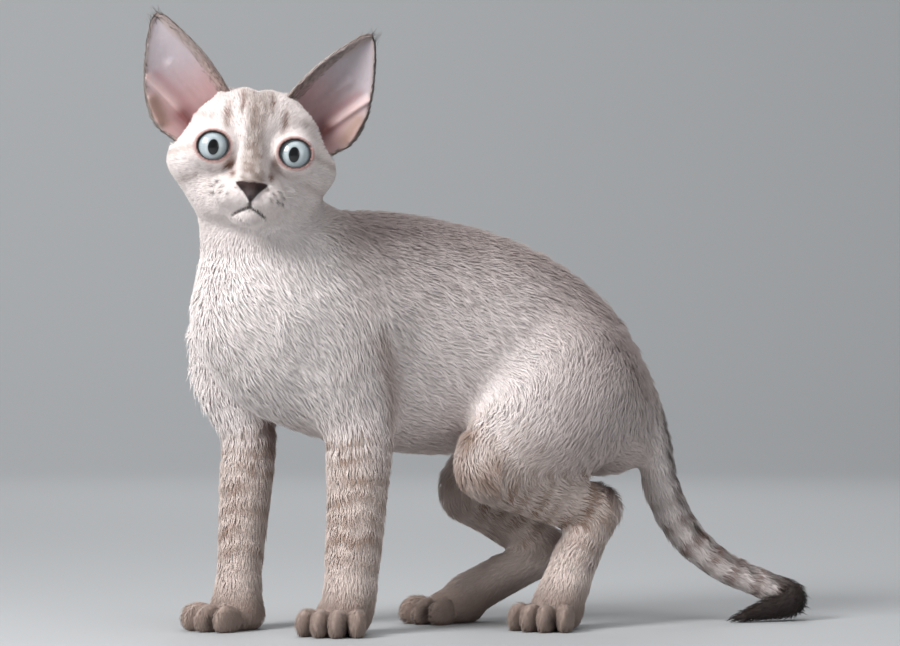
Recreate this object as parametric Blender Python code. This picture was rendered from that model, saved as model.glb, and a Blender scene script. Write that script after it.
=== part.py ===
"""A life-size Devon Rex kitten, standing with its head turned to look over its left side.

The flesh is one smooth body: elliptical sections along curved centre lines, and ellipsoids, all
blended into each other. It is wrapped in a mesh and then parted into named pieces by thin cuts.
The ears are cupped shells and the eyes are balls set in their sockets.

The kitten faces -Y with its left side at +X, and stands on z = 0. Sizes are in millimetres up to
the last step, which turns them into metres. All sizes are taken over the coat.
"""

from dataclasses import dataclass, field
from math import cos, radians, sin

import bmesh
import bpy
import numpy as np
from mathutils import Euler, Matrix, Vector

MM = 0.001
GAP = 0.3  # the space kept between two pieces that touch

# Driving sizes of the head
EYE_SPACING = 36.8
EYE_RADIUS = 9.4
EYE_DEPTH = -20.0  # how far in front of the head's centre the eyeball's own centre lies
LID_WIDTH = 7.5  # half the opening between the lids, across
LID_HEIGHT = 6.7
EAR_THICKNESS = 2.6

# Where the head is and how it is turned
HEAD_CENTRE = (3.0, -107.0, 222.0)
HEAD_YAW = 75.5
HEAD_PITCH = 0.0
HEAD_ROLL = 5.2

# Sampling
BODY_STEP = 3.0
BODY_LOW = (-90, -175, -3)
BODY_HIGH = (95, 185, 275)
BODY_TRIANGLES = 5400
HEAD_STEP = 1.2
PAW_STEP = 1.5
EAR_ROWS = 12
EAR_COLUMNS = 22
EAR_FOOT = -10.0
EAR_TIP = 50.2
UNTANGLE_ROUNDS = 12
COARSE = 4  # how many fine cells a first, rough cell spans
BAND = 1.6  # how many rough cells from the skin the fine cells are worked out
OFFCUT = 200.0  # a piece of less volume than this, in cubic millimetres, is an offcut
FAR = 60.0  # the value of the body's field where no form is near


def turned(yaw=0.0, pitch=0.0, roll=0.0):
    """The rotation that turns a form, in degrees: roll about its length, then pitch, then yaw."""
    return np.array(Euler((radians(pitch), radians(roll), radians(yaw)), "XYZ").to_matrix())


@dataclass(eq=False)
class Frame:
    """A place and a rotation that a group of forms shares."""

    origin: tuple = (0.0, 0.0, 0.0)
    turn: np.ndarray = field(default_factory=lambda: np.eye(3))

    def inward(self, points):
        """World points in this frame."""
        return (points - np.array(self.origin)) @ self.turn

    def outward(self, points):
        """Points of this frame in the world."""
        return np.asarray(points, float) @ self.turn.T + np.array(self.origin)


WORLD = Frame()
HEAD = Frame(HEAD_CENTRE, turned(HEAD_YAW, HEAD_PITCH, HEAD_ROLL))


@dataclass
class Ball:
    """An ellipsoid. Blend is how widely it melts into its neighbours, and carve takes it away."""

    centre: tuple
    radii: tuple
    blend: float = 8.0
    turn: tuple = (0.0, 0.0, 0.0)
    frame: Frame = WORLD
    carve: bool = False

    def reach(self):
        """Its bounding box in the world."""
        middle = self.frame.outward([self.centre])[0]
        return middle - max(self.radii), middle + max(self.radii)

    def distance(self, points):
        """Roughly how far the points are outside it."""
        local = (self.frame.inward(points) - np.array(self.centre)) @ turned(*self.turn)
        scaled = local / np.array(self.radii)
        size = np.linalg.norm(scaled, axis=1)
        slope = np.linalg.norm(scaled / np.array(self.radii), axis=1) + 1e-9
        return size * (size - 1.0) / slope


@dataclass
class Limb:
    """Elliptical sections along a smooth centre line through stations (x, y, z, width, depth).

    Width and depth are half sizes. The depth of a section points along lie.
    """

    stations: list
    lie: tuple = (0.0, 0.0, 1.0)
    blend: float = 8.0
    frame: Frame = WORLD
    carve: bool = False
    steps: int = 5

    def line(self):
        """The stations, filled in by a smooth curve through them."""
        return smooth_curve(self.stations, self.steps)

    def reach(self):
        """Its bounding box in the world."""
        rows = self.line()
        centres = self.frame.outward(rows[:, :3])
        sizes = rows[:, 3:].max(1)[:, None]
        return (centres - sizes).min(0), (centres + sizes).max(0)

    def distance(self, points):
        """Roughly how far the points are outside it."""
        local = self.frame.inward(points)
        rows = self.line()
        best = np.full(len(local), 1e3)
        for start, end in zip(rows, rows[1:]):
            along = end[:3] - start[:3]
            length = np.linalg.norm(along)
            along = along / length
            deep = np.array(self.lie) - along * (np.array(self.lie) @ along)
            deep = deep / np.linalg.norm(deep)
            wide = np.cross(deep, along)
            away = local - start[:3]
            share = np.clip(away @ along / length, 0.0, 1.0)
            away = away - share[:, None] * (end[:3] - start[:3])
            width = start[3] + share * (end[3] - start[3])
            depth = start[4] + share * (end[4] - start[4])
            cap = np.minimum(width, depth)
            a, b, c = away @ wide / width, away @ deep / depth, away @ along / cap
            size = np.sqrt(a * a + b * b + c * c)
            slope = np.sqrt((a / width) ** 2 + (b / depth) ** 2 + (c / cap) ** 2) + 1e-9
            best = np.minimum(best, size * (size - 1.0) / slope)
        return best


@dataclass
class Ring:
    """An elliptical ring of round section, lying across its frame's second axis."""

    centre: tuple
    width: float
    height: float
    thickness: float
    blend: float = 2.0
    turn: tuple = (0.0, 0.0, 0.0)
    frame: Frame = WORLD
    carve: bool = False

    def reach(self):
        """Its bounding box in the world."""
        middle = self.frame.outward([self.centre])[0]
        size = max(self.width, self.height) + self.thickness
        return middle - size, middle + size

    def distance(self, points):
        """Roughly how far the points are outside it."""
        local = (self.frame.inward(points) - np.array(self.centre)) @ turned(*self.turn)
        across = local[:, 0] / self.width
        up = local[:, 2] / self.height
        size = np.hypot(across, up) + 1e-9
        slope = np.hypot(across / self.width, up / self.height) / size + 1e-9
        return np.hypot((size - 1.0) / slope, local[:, 1]) - self.thickness


def blended(first, second, width):
    """The smooth union of two distances."""
    share = np.clip(0.5 + 0.5 * (first - second) / width, 0.0, 1.0)
    return first + (second - first) * share - width * share * (1.0 - share)


class Body:
    """The forms of the flesh and the distance from their blended skin."""

    def __init__(self, forms):
        self.forms = [(form, *form.reach()) for form in forms]

    def value(self, points):
        """The distance outside the skin, which is exact only near it."""
        result = np.full(len(points), FAR)
        for form, low, high in self.forms:
            margin = form.blend + 6.0
            near = np.all((points > low - margin) & (points < high + margin), axis=1)
            if not near.any():
                continue
            away = form.distance(points[near])
            if form.carve:
                result[near] = -blended(-result[near], away, form.blend)
            else:
                result[near] = blended(result[near], away, form.blend)
        return np.maximum(result, -points[:, 2])

    def settle(self, points, rounds=3):
        """Moves points straight on to the skin."""
        reach = 0.25
        for _ in range(rounds):
            slope = np.stack(
                [
                    (self.value(points + step) - self.value(points - step)) / (2 * reach)
                    for step in np.eye(3) * reach
                ],
                axis=1,
            )
            size = (slope**2).sum(1, keepdims=True) + 1e-6
            points = points - np.clip(self.value(points)[:, None] * slope / size, -1.5, 1.5)
        return points


def sampled(body, low, high, step):
    """The body's value on a fine grid, worked out only near the skin."""
    axes = [np.arange(a, b + step, step) for a, b in zip(low, high)]
    coarse = [axis[::COARSE] for axis in axes]
    corner = np.stack(np.meshgrid(*coarse, indexing="ij"), -1).reshape(-1, 3) + 0.5 * COARSE * step
    rough = body.value(corner).reshape([len(axis) for axis in coarse])
    for axis in range(3):
        rough = rough.repeat(COARSE, axis=axis)
    shape = tuple(len(axis) for axis in axes)
    value = rough[: shape[0], : shape[1], : shape[2]].copy()
    near = np.argwhere(np.abs(value) < BAND * COARSE * step)
    value[tuple(near.T)] = body.value(np.array(low) + near * step)
    return value


def untangle(value):
    """Fills the grid's corners where the skin would touch itself along an edge."""
    for _ in range(UNTANGLE_ROUNDS):
        found = 0
        for axis in range(3):
            view = np.moveaxis(value, axis, 0)
            a, b, c, d = view[:, :-1, :-1], view[:, 1:, :-1], view[:, :-1, 1:], view[:, 1:, 1:]
            for first, second, near, far in ((a, d, b, c), (b, c, a, d)):
                bad = (first < 0) & (second < 0) & (near >= 0) & (far >= 0)
                near[bad] = -0.05
                found += bad.sum()
        if found == 0:
            break


def wrapped(body, low, high, step):
    """A closed mesh round the flesh inside a box: points, and faces of four corners."""
    value = sampled(body, low, high, step)
    untangle(value)
    shape = value.shape
    for axis in range(3):
        ends = [slice(None)] * 3
        for end in (0, -1):
            ends[axis] = end
            value[tuple(ends)] = np.maximum(value[tuple(ends)], 0.5 * step)
    inside = value < 0
    corners = [(i, j, k) for i in (0, 1) for j in (0, 1) for k in (0, 1)]
    filled = sum(inside[i:shape[0] - 1 + i, j:shape[1] - 1 + j, k:shape[2] - 1 + k].astype(np.int8)
                 for i, j, k in corners)
    cells = np.argwhere((filled > 0) & (filled < 8))
    label = np.full(filled.shape, -1)
    label[tuple(cells.T)] = np.arange(len(cells))
    total = np.zeros((len(cells), 3))
    count = np.zeros(len(cells))
    faces = []
    axes = np.eye(3, dtype=int)
    for axis in range(3):
        along = axes[axis]
        first = axes[(axis + 1) % 3]
        second = axes[(axis + 2) % 3]
        for i, j in ((0, 0), (1, 0), (0, 1), (1, 1)):
            start = cells + i * first + j * second
            a = value[tuple(start.T)]
            b = value[tuple((start + along).T)]
            crossed = (a < 0) != (b < 0)
            share = np.where(crossed, a / np.where(crossed, a - b, 1.0), 0.0)
            total += np.where(crossed[:, None], start + share[:, None] * along, 0.0)
            count += crossed
        here = inside[tuple(slice(0, n - k) for n, k in zip(shape, along))]
        there = inside[tuple(slice(k, n) for n, k in zip(shape, along))]
        starts = np.argwhere(here != there)
        quad = np.stack([label[tuple((starts - i * first - j * second).T)]
                         for i, j in ((0, 0), (1, 0), (1, 1), (0, 1))], axis=1)
        out = inside[tuple(starts.T)]
        faces.append(np.where(out[:, None], quad, quad[:, ::-1]))
    return np.array(low) + step * total / count[:, None], np.vstack(faces)


@dataclass
class Leaf:
    """The hollow in front of an ear's cupped shell, which is taken away from the head.

    In its frame x runs from the inner edge to the outer edge, y towards the hollow side, z to the tip.
    """

    side: int
    blend: float = 1.5
    carve: bool = True

    def reach(self):
        """Its bounding box in the world."""
        spots = [(x, y, z) for x in (-22, 23) for y in (-18, 12) for z in (-14, 52)]
        world = HEAD.outward(EAR.outward(spots) * (self.side, 1, 1))
        return world.min(0), world.max(0)

    def distance(self, points):
        """Roughly how far the points are outside it."""
        across, deep, up = EAR.inward(HEAD.inward(points) * (self.side, 1, 1)).T
        rim = outline_distance(across, up)
        outer = np.interp(up, EAR_OUTER[:, 1], EAR_OUTER[:, 0])
        inner = np.interp(up, EAR_INNER[:, 1], EAR_INNER[:, 0])
        half = np.maximum(0.5 * (outer - inner), 2.5)
        share = np.clip((across - 0.5 * (outer + inner)) / half, -1.1, 1.1)
        cup = np.interp(up, *EAR_CUP)
        away = (deep + cup * (1 - share**2)) / np.sqrt(1 + (2 * cup * share / half) ** 2)
        brow = 0.87 * (-1.0 - 0.56 * across - up)
        front = np.maximum(-EAR_THICKNESS / 2 - GAP - away, deep - 14.0)
        return -blended(-np.maximum(rim - 0.8, front), -brow, 3.0)


def smooth_curve(spots, steps):
    """A smooth curve through the spots, with its ends."""
    rows = np.array(spots, float)
    ends = np.vstack([2 * rows[0] - rows[1], rows, 2 * rows[-1] - rows[-2]])
    filled = []
    for a, b, c, d in zip(ends, ends[1:], ends[2:], ends[3:]):
        for t in np.arange(steps) / steps:
            filled.append(0.5 * (2 * b + (c - a) * t + (2 * a - 5 * b + 4 * c - d) * t**2
                                 + (3 * b - a - 3 * c + d) * t**3))
    return np.array(filled + [rows[-1]])


EAR_OUTER = smooth_curve([(11, -12), (15.5, -5), (19.6, 2), (20.8, 9), (19.4, 19), (15.9, 28), (11.9, 36),
                          (7.8, 43), (3.9, 48.2), (0.3, 50.2)], 4)
EAR_INNER = smooth_curve([(-18, -12), (-19.5, -5), (-18.6, 4), (-17, 14), (-14.4, 24), (-11.2, 32.5),
                          (-7.2, 41), (-3.4, 47.8), (0.3, 50.2)], 4)
EAR_CUP = ((-12, 0, 12, 25, 38, 50), (15.0, 14.0, 11.0, 7.5, 3.8, 1.4))
EAR_OUT = 18.0  # how far the ear's hollow is turned outwards


def outline_distance(across, up):
    """How far outside the ear's outline the places are, in the plane of its edges."""
    loop = np.vstack([EAR_OUTER, EAR_INNER[-2::-1]])
    best = np.full(len(across), 1e6)
    inside = np.zeros(len(across), bool)
    for (ax, ay), (bx, by) in zip(loop, np.roll(loop, -1, axis=0)):
        dx, dy = bx - ax, by - ay
        px, py = across - ax, up - ay
        share = np.clip((px * dx + py * dy) / (dx * dx + dy * dy + 1e-12), 0, 1)
        best = np.minimum(best, (px - share * dx) ** 2 + (py - share * dy) ** 2)
        if dy != 0:
            inside ^= ((ay <= up) != (by <= up)) & (px < dx * py / dy)
    return np.where(inside, -np.sqrt(best), np.sqrt(best))


def ear_frame():
    """The frame of the left ear in the head's frame."""
    up = Vector((0.447, 0.06, 0.894)).normalized()
    front = Vector((sin(radians(EAR_OUT)), -cos(radians(EAR_OUT)), 0.0))
    front = (front - up * front.dot(up)).normalized()
    return Frame((27.0, -3.0, 15.0), np.array(Matrix((up.cross(front), front, up)).transposed()))


EAR = ear_frame()


def ear_spot(side, across, deep, up):
    """A place of the ear's frame in the head's frame."""
    return tuple(EAR.outward([(across, deep, up)])[0] * (side, 1, 1))


def mirrored(make):
    """The forms that make returns for the left (1) and the right (-1) side."""
    return [form for side in (1, -1) for form in make(side)]


def head_forms():
    """Skull, brow, cheeks, muzzle, nose, chin and lids, in the head's own frame."""

    def half(side):
        eye = (side * EYE_SPACING / 2, EYE_DEPTH, 0)
        lids = (side * (EYE_SPACING / 2 + 0.2), EYE_DEPTH - 6.8, 0)
        splay = (side * 5.0, 0, 0)
        return [
            Ball((side * 24, 0, -7), (15.5, 22, 16.5), blend=9, frame=HEAD),
            Ball((side * 16, -9, 12), (13, 13, 10), blend=8, frame=HEAD),
            Ball((side * 15, 2, -20), (14.5, 20, 11.5), blend=9, frame=HEAD),
            Ball((side * 23, 6, 16), (12.5, 13, 13), blend=8, frame=HEAD),
            Ball((side * 6.8, -30.2, -22), (9.4, 9.8, 6.6), blend=4, frame=HEAD),
            Ball(eye, (EYE_RADIUS + 0.9,) * 3, blend=7, frame=HEAD),
            Ball(lids, (LID_WIDTH, 6.0, LID_HEIGHT), blend=0.6, turn=splay, frame=HEAD, carve=True),
            Ring(lids, LID_WIDTH + 0.5, LID_HEIGHT + 0.5, 0.85, blend=2.0, turn=splay, frame=HEAD),
            Leaf(side),
            Ball(ear_spot(side, 0.5, -2, -0.5), (3.4, 4.2, 3.4), blend=3, frame=HEAD),
        ]

    def small(side):
        return [
            Limb([(0, -40.0, -26.6, 1.0, 2.0), (side * 3.6, -39.4, -28.2, 1.0, 2.0),
                  (side * 7.4, -37.0, -30.4, 1.0, 2.0), (side * 11, -32.0, -31.6, 0.8, 1.6)],
                 lie=(0, -1, 0), blend=0.8, frame=HEAD, carve=True),
            Ball((side * 4.1, -43.6, -18.6), (1.7, 2.6, 1.2), blend=0.5, turn=(side * -20, 0, 0), frame=HEAD,
                 carve=True),
            Limb([(side * 4.6, -43.2, -18.8, 0.6, 0.6), (side * 7.4, -40.0, -17.2, 0.5, 0.5)], blend=0.4,
                 frame=HEAD, carve=True),
        ]

    skull = [
        Ball((0, 8, 2), (34, 35, 28), blend=10, frame=HEAD),
        Ball((0, -11, 12), (19, 16, 13), blend=9, frame=HEAD),
        Ball((0, -20, -19), (16, 18, 11.5), blend=8, frame=HEAD),
        Limb([(0, -16, 14, 9, 9), (0, -22, 4, 7.5, 8), (0, -29.0, -7, 6.8, 6), (0, -34.5, -13, 6.4, 5)],
             lie=(0, -1, 1), blend=6, frame=HEAD),
        Ball((0, -29.0, -30.4), (8.4, 8.2, 5.2), blend=3.5, frame=HEAD),
        Ball((0, -27, -23), (8, 12.4, 7), blend=4, frame=HEAD),
        Ball((0, -15, -25), (17, 17, 9), blend=7, frame=HEAD),
    ]
    nose = [
        Limb([(-5.6, -38.8, -17.2, 2.0, 2.0), (0, -40.8, -17.0, 2.4, 2.6), (5.6, -38.8, -17.2, 2.0, 2.0)],
             blend=1.4, frame=HEAD),
        Limb([(0, -40.6, -18.5, 4.6, 2.6), (0, -40.2, -21, 2.6, 2.5), (0, -39.4, -23.6, 1.1, 1.8)],
             lie=(0, -1, 0), blend=1.0, frame=HEAD),
        Limb([(0, -42.2, -22.8, 0.5, 1.0), (0, -41.2, -26.0, 0.7, 1.5)], lie=(0, -1, 0), blend=0.8,
             frame=HEAD, carve=True),
    ]
    return skull + mirrored(half) + nose + mirrored(small)


def torso_forms():
    """Neck, chest, belly, back and rump."""
    return [
        Limb([(-9, -103, 150, 30, 36), (-14, -84, 146, 38, 49), (-22, -50, 143, 40, 57),
              (-27, -15, 139, 41, 58), (-27, 20, 134, 41, 54), (-24, 50, 122, 38, 46),
              (-18, 71, 103, 32, 33), (-14, 82, 94, 22, 22)], blend=14),
        Limb([(-14, -84, 160, 36, 40), (-11, -96, 184, 30, 32), (-5, -101, 205, 27, 28)],
             lie=(0, 1, 0), blend=14),
    ]


def paw(x, y, heading, width=31.0, length=34.0, height=15.0):
    """A paw on the floor with four toes. Its middle is at x, y and its toes point to heading."""
    place = Frame((x, y, 0.0), turned(heading))
    toe = width / 8
    forms = [Ball((0, 6, height * 0.48), (width * 0.42, length * 0.42, height * 0.66), blend=6, frame=place)]
    for offset, lead in ((-3, 0.0), (-1, 4.5), (1, 4.5), (3, 0.0)):
        forms.append(Ball((offset * toe, -length * 0.22 - lead, height * 0.42),
                          (toe * 1.12, length * 0.27, height * 0.52),
                          blend=1.6, turn=(offset * 5.0, 0, 0), frame=place))
    return forms


def leg_forms():
    """The four legs and their paws."""
    left_fore = [
        Limb([(2, -62, 146, 20, 30), (4, -65, 124, 17, 25), (3, -56, 98, 15, 19), (6, -57, 68, 14, 15.5),
              (10, -60.5, 36, 13, 14), (12, -63, 16, 12.5, 12.5)], lie=(0, 1, 0), blend=10),
        *paw(16, -70, 55),
    ]
    right_fore = [
        Limb([(-40, -102, 138, 18, 25), (-43, -103, 118, 15.5, 21), (-42, -96, 94, 14, 15),
              (-39, -98, 66, 13, 13.5), (-36.5, -101, 36, 11.5, 12), (-35, -103, 16, 11.5, 11.5)],
             lie=(0, 1, 0), blend=10),
        *paw(-31, -110, 20),
    ]
    left_hind = [
        Limb([(2, 58, 118, 26, 36), (8, 36, 98, 22, 34), (12, 10, 80, 17, 22)], lie=(0, 1, -0.4), blend=12),
        Limb([(12, 6, 77, 16, 17), (10, 34, 66, 14, 16), (8, 60, 55, 12, 13)], blend=8),
        Limb([(7, 64, 58, 11, 12), (13, 50, 34, 11.5, 12), (18, 40, 16, 12, 12)], lie=(0, 1, 0), blend=6),
        *paw(21, 33, 45, width=30),
    ]
    right_hind = [
        Limb([(-42, 66, 112, 24, 34), (-50, 42, 86, 19, 28), (-52, 22, 66, 15, 18)],
             lie=(0, 1, -0.4), blend=12),
        Limb([(-52, 20, 62, 14, 15), (-46, 38, 48, 12, 13), (-38, 52, 36, 11.5, 12)], blend=8),
        Limb([(-37, 56, 34, 11, 11), (-37, 34, 24, 11, 11), (-36, 14, 14, 11.5, 11)], lie=(0, 0, 1), blend=6),
        *paw(-35, 0, 15, width=29),
    ]
    return left_fore + right_fore + left_hind + right_hind


def tail_forms():
    """The tail, down to the floor and round to its pointed end."""
    return [
        Limb([(-13, 84, 112, 13, 13), (-12, 99, 90, 10, 10.5), (-12, 105, 66, 9.5, 10),
              (-10, 116, 44, 9, 9.5), (-6, 133, 28, 8, 8.5), (0, 153, 18, 7.5, 8), (6, 166, 12.5, 7, 8),
              (12, 163, 8.8, 6.5, 7.5), (14, 149, 6.4, 5.5, 6.2), (15, 136, 3.6, 3.2, 3.6),
              (15, 129, 2, 1.6, 1.8)], blend=8),
    ]


def clear_scene():
    """Removes what the scene starts with."""
    for thing in list(bpy.data.objects):
        bpy.data.objects.remove(thing)


def all_forms():
    """Everything that is blended into one flesh."""
    return torso_forms() + leg_forms() + tail_forms() + head_forms()


@dataclass
class Cut:
    """A slab that parts the flesh: a flat outline with a thickness."""

    outline: list
    thick: float = GAP

    def solid(self):
        """The slab's points and faces."""
        rows = np.array(self.outline, float)
        across = np.cross(rows[1] - rows[0], rows[2] - rows[0])
        across = across / np.linalg.norm(across) * self.thick / 2
        count = len(rows)
        points = np.vstack([rows - across, rows + across])
        faces = [list(range(count))[::-1], list(range(count, 2 * count))]
        faces += [[k, (k + 1) % count, count + (k + 1) % count, count + k] for k in range(count)]
        return points, faces


def plate(centre, normal, up, wide, long, thick=GAP):
    """A rectangular slab: its middle, the way its faces look, one edge's direction and half sizes."""
    facing = np.array(normal, float) / np.linalg.norm(normal)
    rise = np.array(up, float) - facing * (np.array(up) @ facing)
    rise = rise / np.linalg.norm(rise)
    side = np.cross(rise, facing)
    corners = ((-1, -1), (1, -1), (1, 1), (-1, 1))
    return Cut([np.array(centre) + x * wide * side + y * long * rise for x, y in corners], thick)


FLOOR_CUT = plate((0, 0, -4.6), (0, 0, 1), (0, 1, 0), 160, 250, 10)
HEAD_CUT = plate((-2, -106, 196), (0.331, -0.086, 0.94), (0, 1, 0), 46, 40)
NECK_CUT = plate((-14, -90, 172), (0.05, -0.45, 0.89), (0, 1, 0), 60, 70)
FORELEG_CUTS = [
    plate((4, -59, 80), (0, 0, 1), (0, 1, 0), 20, 22),
    plate((-41, -99, 80), (0, 0, 1), (0, 1, 0), 20, 22),
]
FOREPAW_LEFT_CUT = plate((12, -64, 24), (0, 0, 1), (0, 1, 0), 20, 20)
FOREPAW_RIGHT_CUT = plate((-35, -103, 24), (0, 0, 1), (0, 1, 0), 18, 20)
THIGH_CUTS = [
    Cut([(-35.1, -31, 60), (-17.8, 60, 60), (-8.8, 90, 66), (-0.5, 104, 76), (11.4, 108, 96), (38.4, 98, 148),
         (26.5, 35, 148)]),
    Cut([(-36, -30, 60), (25.7, 36, 148), (80, 36, 148), (44, -30, 60)]),
    Cut([(-17.4, -4.8, 66), (-28.3, 104, 70), (-92.8, 100, 150), (-89.4, 42.4, 151)]),
    Cut([(-16, -4.2, 66), (-88, 42.8, 151), (-128, 42.8, 151), (-98, -4.2, 66)]),
]
HOCK_LEFT_CUT = plate((11, 55, 40), (0.2, -0.3, -0.93), (0, 1, 0), 17, 17)
HOCK_RIGHT_CUT = plate((-37, 29, 21.5), (0, -0.9, -0.42), (0, -0.42, 0.9), 17, 15)
TAIL_CUT = plate((-12, 104, 74), (0, -0.35, 0.94), (0, 1, 0), 16, 16)
TAIL_MIDDLE_CUT = plate((-7, 130, 31), (-0.2, -0.8, 0.55), (0, 1, 0), 14, 14)
TAIL_END_CUT = plate((14.5, 145, 6.5), (0.1, -1, -0.1), (0, 0, 1), 8, 8)
CUTS = [
    FLOOR_CUT,
    HEAD_CUT,
    NECK_CUT,
    *FORELEG_CUTS,
    FOREPAW_LEFT_CUT,
    FOREPAW_RIGHT_CUT,
    *THIGH_CUTS,
    HOCK_LEFT_CUT,
    HOCK_RIGHT_CUT,
    TAIL_CUT,
    TAIL_MIDDLE_CUT,
    TAIL_END_CUT,
]


@dataclass
class Finish:
    """A plain material."""

    name: str
    colour: tuple
    roughness: float

    def material(self):
        """The material of this name."""
        made = bpy.data.materials.get(self.name) or bpy.data.materials.new(self.name)
        made.use_nodes = True
        shader = made.node_tree.nodes["Principled BSDF"]
        shader.inputs["Base Color"].default_value = (*self.colour, 1.0)
        shader.inputs["Roughness"].default_value = self.roughness
        return made


PALE_COAT = Finish("pale_coat", (0.72, 0.63, 0.56), 0.9)
BACK_COAT = Finish("back_coat", (0.55, 0.47, 0.41), 0.9)
TAIL_COAT = Finish("tail_coat", (0.36, 0.30, 0.26), 0.9)
EAR_SKIN = Finish("ear_skin", (0.70, 0.48, 0.44), 0.7)
EYE = Finish("eye", (0.42, 0.55, 0.62), 0.1)

# Each piece of the flesh that is taken from the whole: about where its middle is, and its finish
COARSE_PIECES = {
    "torso": ((-22, 0, 130), BACK_COAT),
    "neck": ((-15, -93, 182), PALE_COAT),
    "foreleg_left": ((7, -59, 52), PALE_COAT),
    "foreleg_right": ((-39, -99, 52), PALE_COAT),
    "hind_leg_left": ((10, 30, 90), PALE_COAT),
    "hind_leg_right": ((-54, 35, 78), PALE_COAT),
    "tail_root": ((-10, 115, 52), BACK_COAT),
    "tail_middle": ((4, 150, 17), TAIL_COAT),
}


@dataclass
class Detail:
    """A piece that is wrapped again, more finely, inside its own box."""

    low: tuple
    high: tuple
    step: float
    triangles: int
    cuts: list
    finish: Finish

    def middle(self):
        """The middle of its box."""
        return (np.array(self.low) + np.array(self.high)) / 2


DETAILS = {
    "head": Detail((-58, -164, 176), (58, -56, 268), HEAD_STEP, 4500, [HEAD_CUT], PALE_COAT),
    "forepaw_left": Detail((-14, -100, -3), (46, -42, 32), PAW_STEP, 760, [FOREPAW_LEFT_CUT], PALE_COAT),
    "forepaw_right": Detail((-58, -140, -3), (-6, -84, 32), PAW_STEP, 760, [FOREPAW_RIGHT_CUT], PALE_COAT),
    "hind_foot_left": Detail((-8, 6, -3), (48, 76, 56), PAW_STEP, 860, [HOCK_LEFT_CUT], PALE_COAT),
    "hind_foot_right": Detail((-58, -28, -3), (-14, 58, 44), PAW_STEP, 860, [HOCK_RIGHT_CUT], PALE_COAT),
    "tail_end": Detail((4, 120, -3), (25, 152, 18), 1.0, 300, [TAIL_END_CUT], TAIL_COAT),
}


def mesh_of(name, points, faces):
    """An object with a mesh from points in millimetres."""
    mesh = bpy.data.meshes.new(name)
    mesh.from_pydata((np.array(points) * MM).tolist(), [], [[int(k) for k in face] for face in faces])
    thing = bpy.data.objects.new(name, mesh)
    bpy.context.scene.collection.objects.link(thing)
    return thing


def settled(thing):
    """Applies the object's modifiers to its mesh."""
    mesh = bpy.data.meshes.new_from_object(thing.evaluated_get(bpy.context.evaluated_depsgraph_get()))
    thing.modifiers.clear()
    thing.data = mesh


def flesh(body, low, high, step, triangles):
    """A wrapped mesh of part of the flesh, thinned to about so many triangles."""
    points, faces = wrapped(body, low, high, step)
    thing = mesh_of("flesh", body.settle(points), faces)
    thin = thing.modifiers.new("thin", "DECIMATE")
    thin.ratio = triangles / (2 * len(faces))
    settled(thing)
    return thing


def subtract(thing, cutter, solver="EXACT"):
    """Takes the cutter away from the object, and removes the cutter."""
    cut = thing.modifiers.new("cut", "BOOLEAN")
    cut.operation = "DIFFERENCE"
    cut.solver = solver
    cut.object = cutter
    settled(thing)
    bpy.data.objects.remove(cutter)


def islands(thing):
    """The separate closed pieces of an object's mesh, as points and faces. Removes the object."""
    mesh = bmesh.new()
    mesh.from_mesh(thing.data)
    left = set(mesh.faces)
    pieces = []
    while left:
        front = [left.pop()]
        found = list(front)
        while front:
            near = {other for edge in front.pop().edges for other in edge.link_faces} & left
            left -= near
            front += near
            found += near
        spots = {}
        faces = [[spots.setdefault(corner, len(spots)) for corner in face.verts] for face in found]
        pieces.append((np.array([corner.co for corner in spots]) / MM, faces))
    mesh.free()
    bpy.data.objects.remove(thing)
    return pieces


def volume(points, faces):
    """The volume inside a closed mesh, which is negative for a hollow."""
    fans = np.array([(face[0], b, c) for face in faces for b, c in zip(face[1:], face[2:])])
    a, b, c = points[fans].transpose(1, 0, 2)
    return np.einsum("ij,ij->i", a, np.cross(b, c)).sum() / 6


def named(name, pieces, middle, finish):
    """Makes an object of the piece whose box's middle is nearest to the given one."""
    solid = [piece for piece in pieces if volume(*piece) > OFFCUT]
    points, faces = min(
        solid, key=lambda piece: np.linalg.norm((piece[0].min(0) + piece[0].max(0)) / 2 - np.array(middle))
    )
    thing = mesh_of(name, points, faces)
    thing.data.materials.append(finish.material())
    return thing


def part_off(thing, cuts):
    """Takes the slabs away from the object."""
    for cut in cuts:
        subtract(thing, mesh_of("slab", *cut.solid()))


def eyeball(name, side, radius):
    """A ball in the place of one eye."""
    mesh = bpy.data.meshes.new(name)
    build = bmesh.new()
    centre = HEAD.outward([(side * EYE_SPACING / 2, EYE_DEPTH, 0)])[0] * MM
    bmesh.ops.create_uvsphere(build, u_segments=18, v_segments=11, radius=radius * MM,
                              matrix=Matrix.Translation(centre))
    build.to_mesh(mesh)
    build.free()
    thing = bpy.data.objects.new(name, mesh)
    bpy.context.scene.collection.objects.link(thing)
    return thing


def swollen(thing, amount):
    """A copy of the object that is larger all round."""
    build = bmesh.new()
    build.from_mesh(thing.data)
    build.normal_update()
    points = np.array([corner.co + corner.normal * amount * MM for corner in build.verts]) / MM
    faces = [[corner.index for corner in face.verts] for face in build.faces]
    build.free()
    return mesh_of("swollen", points, faces)


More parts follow.
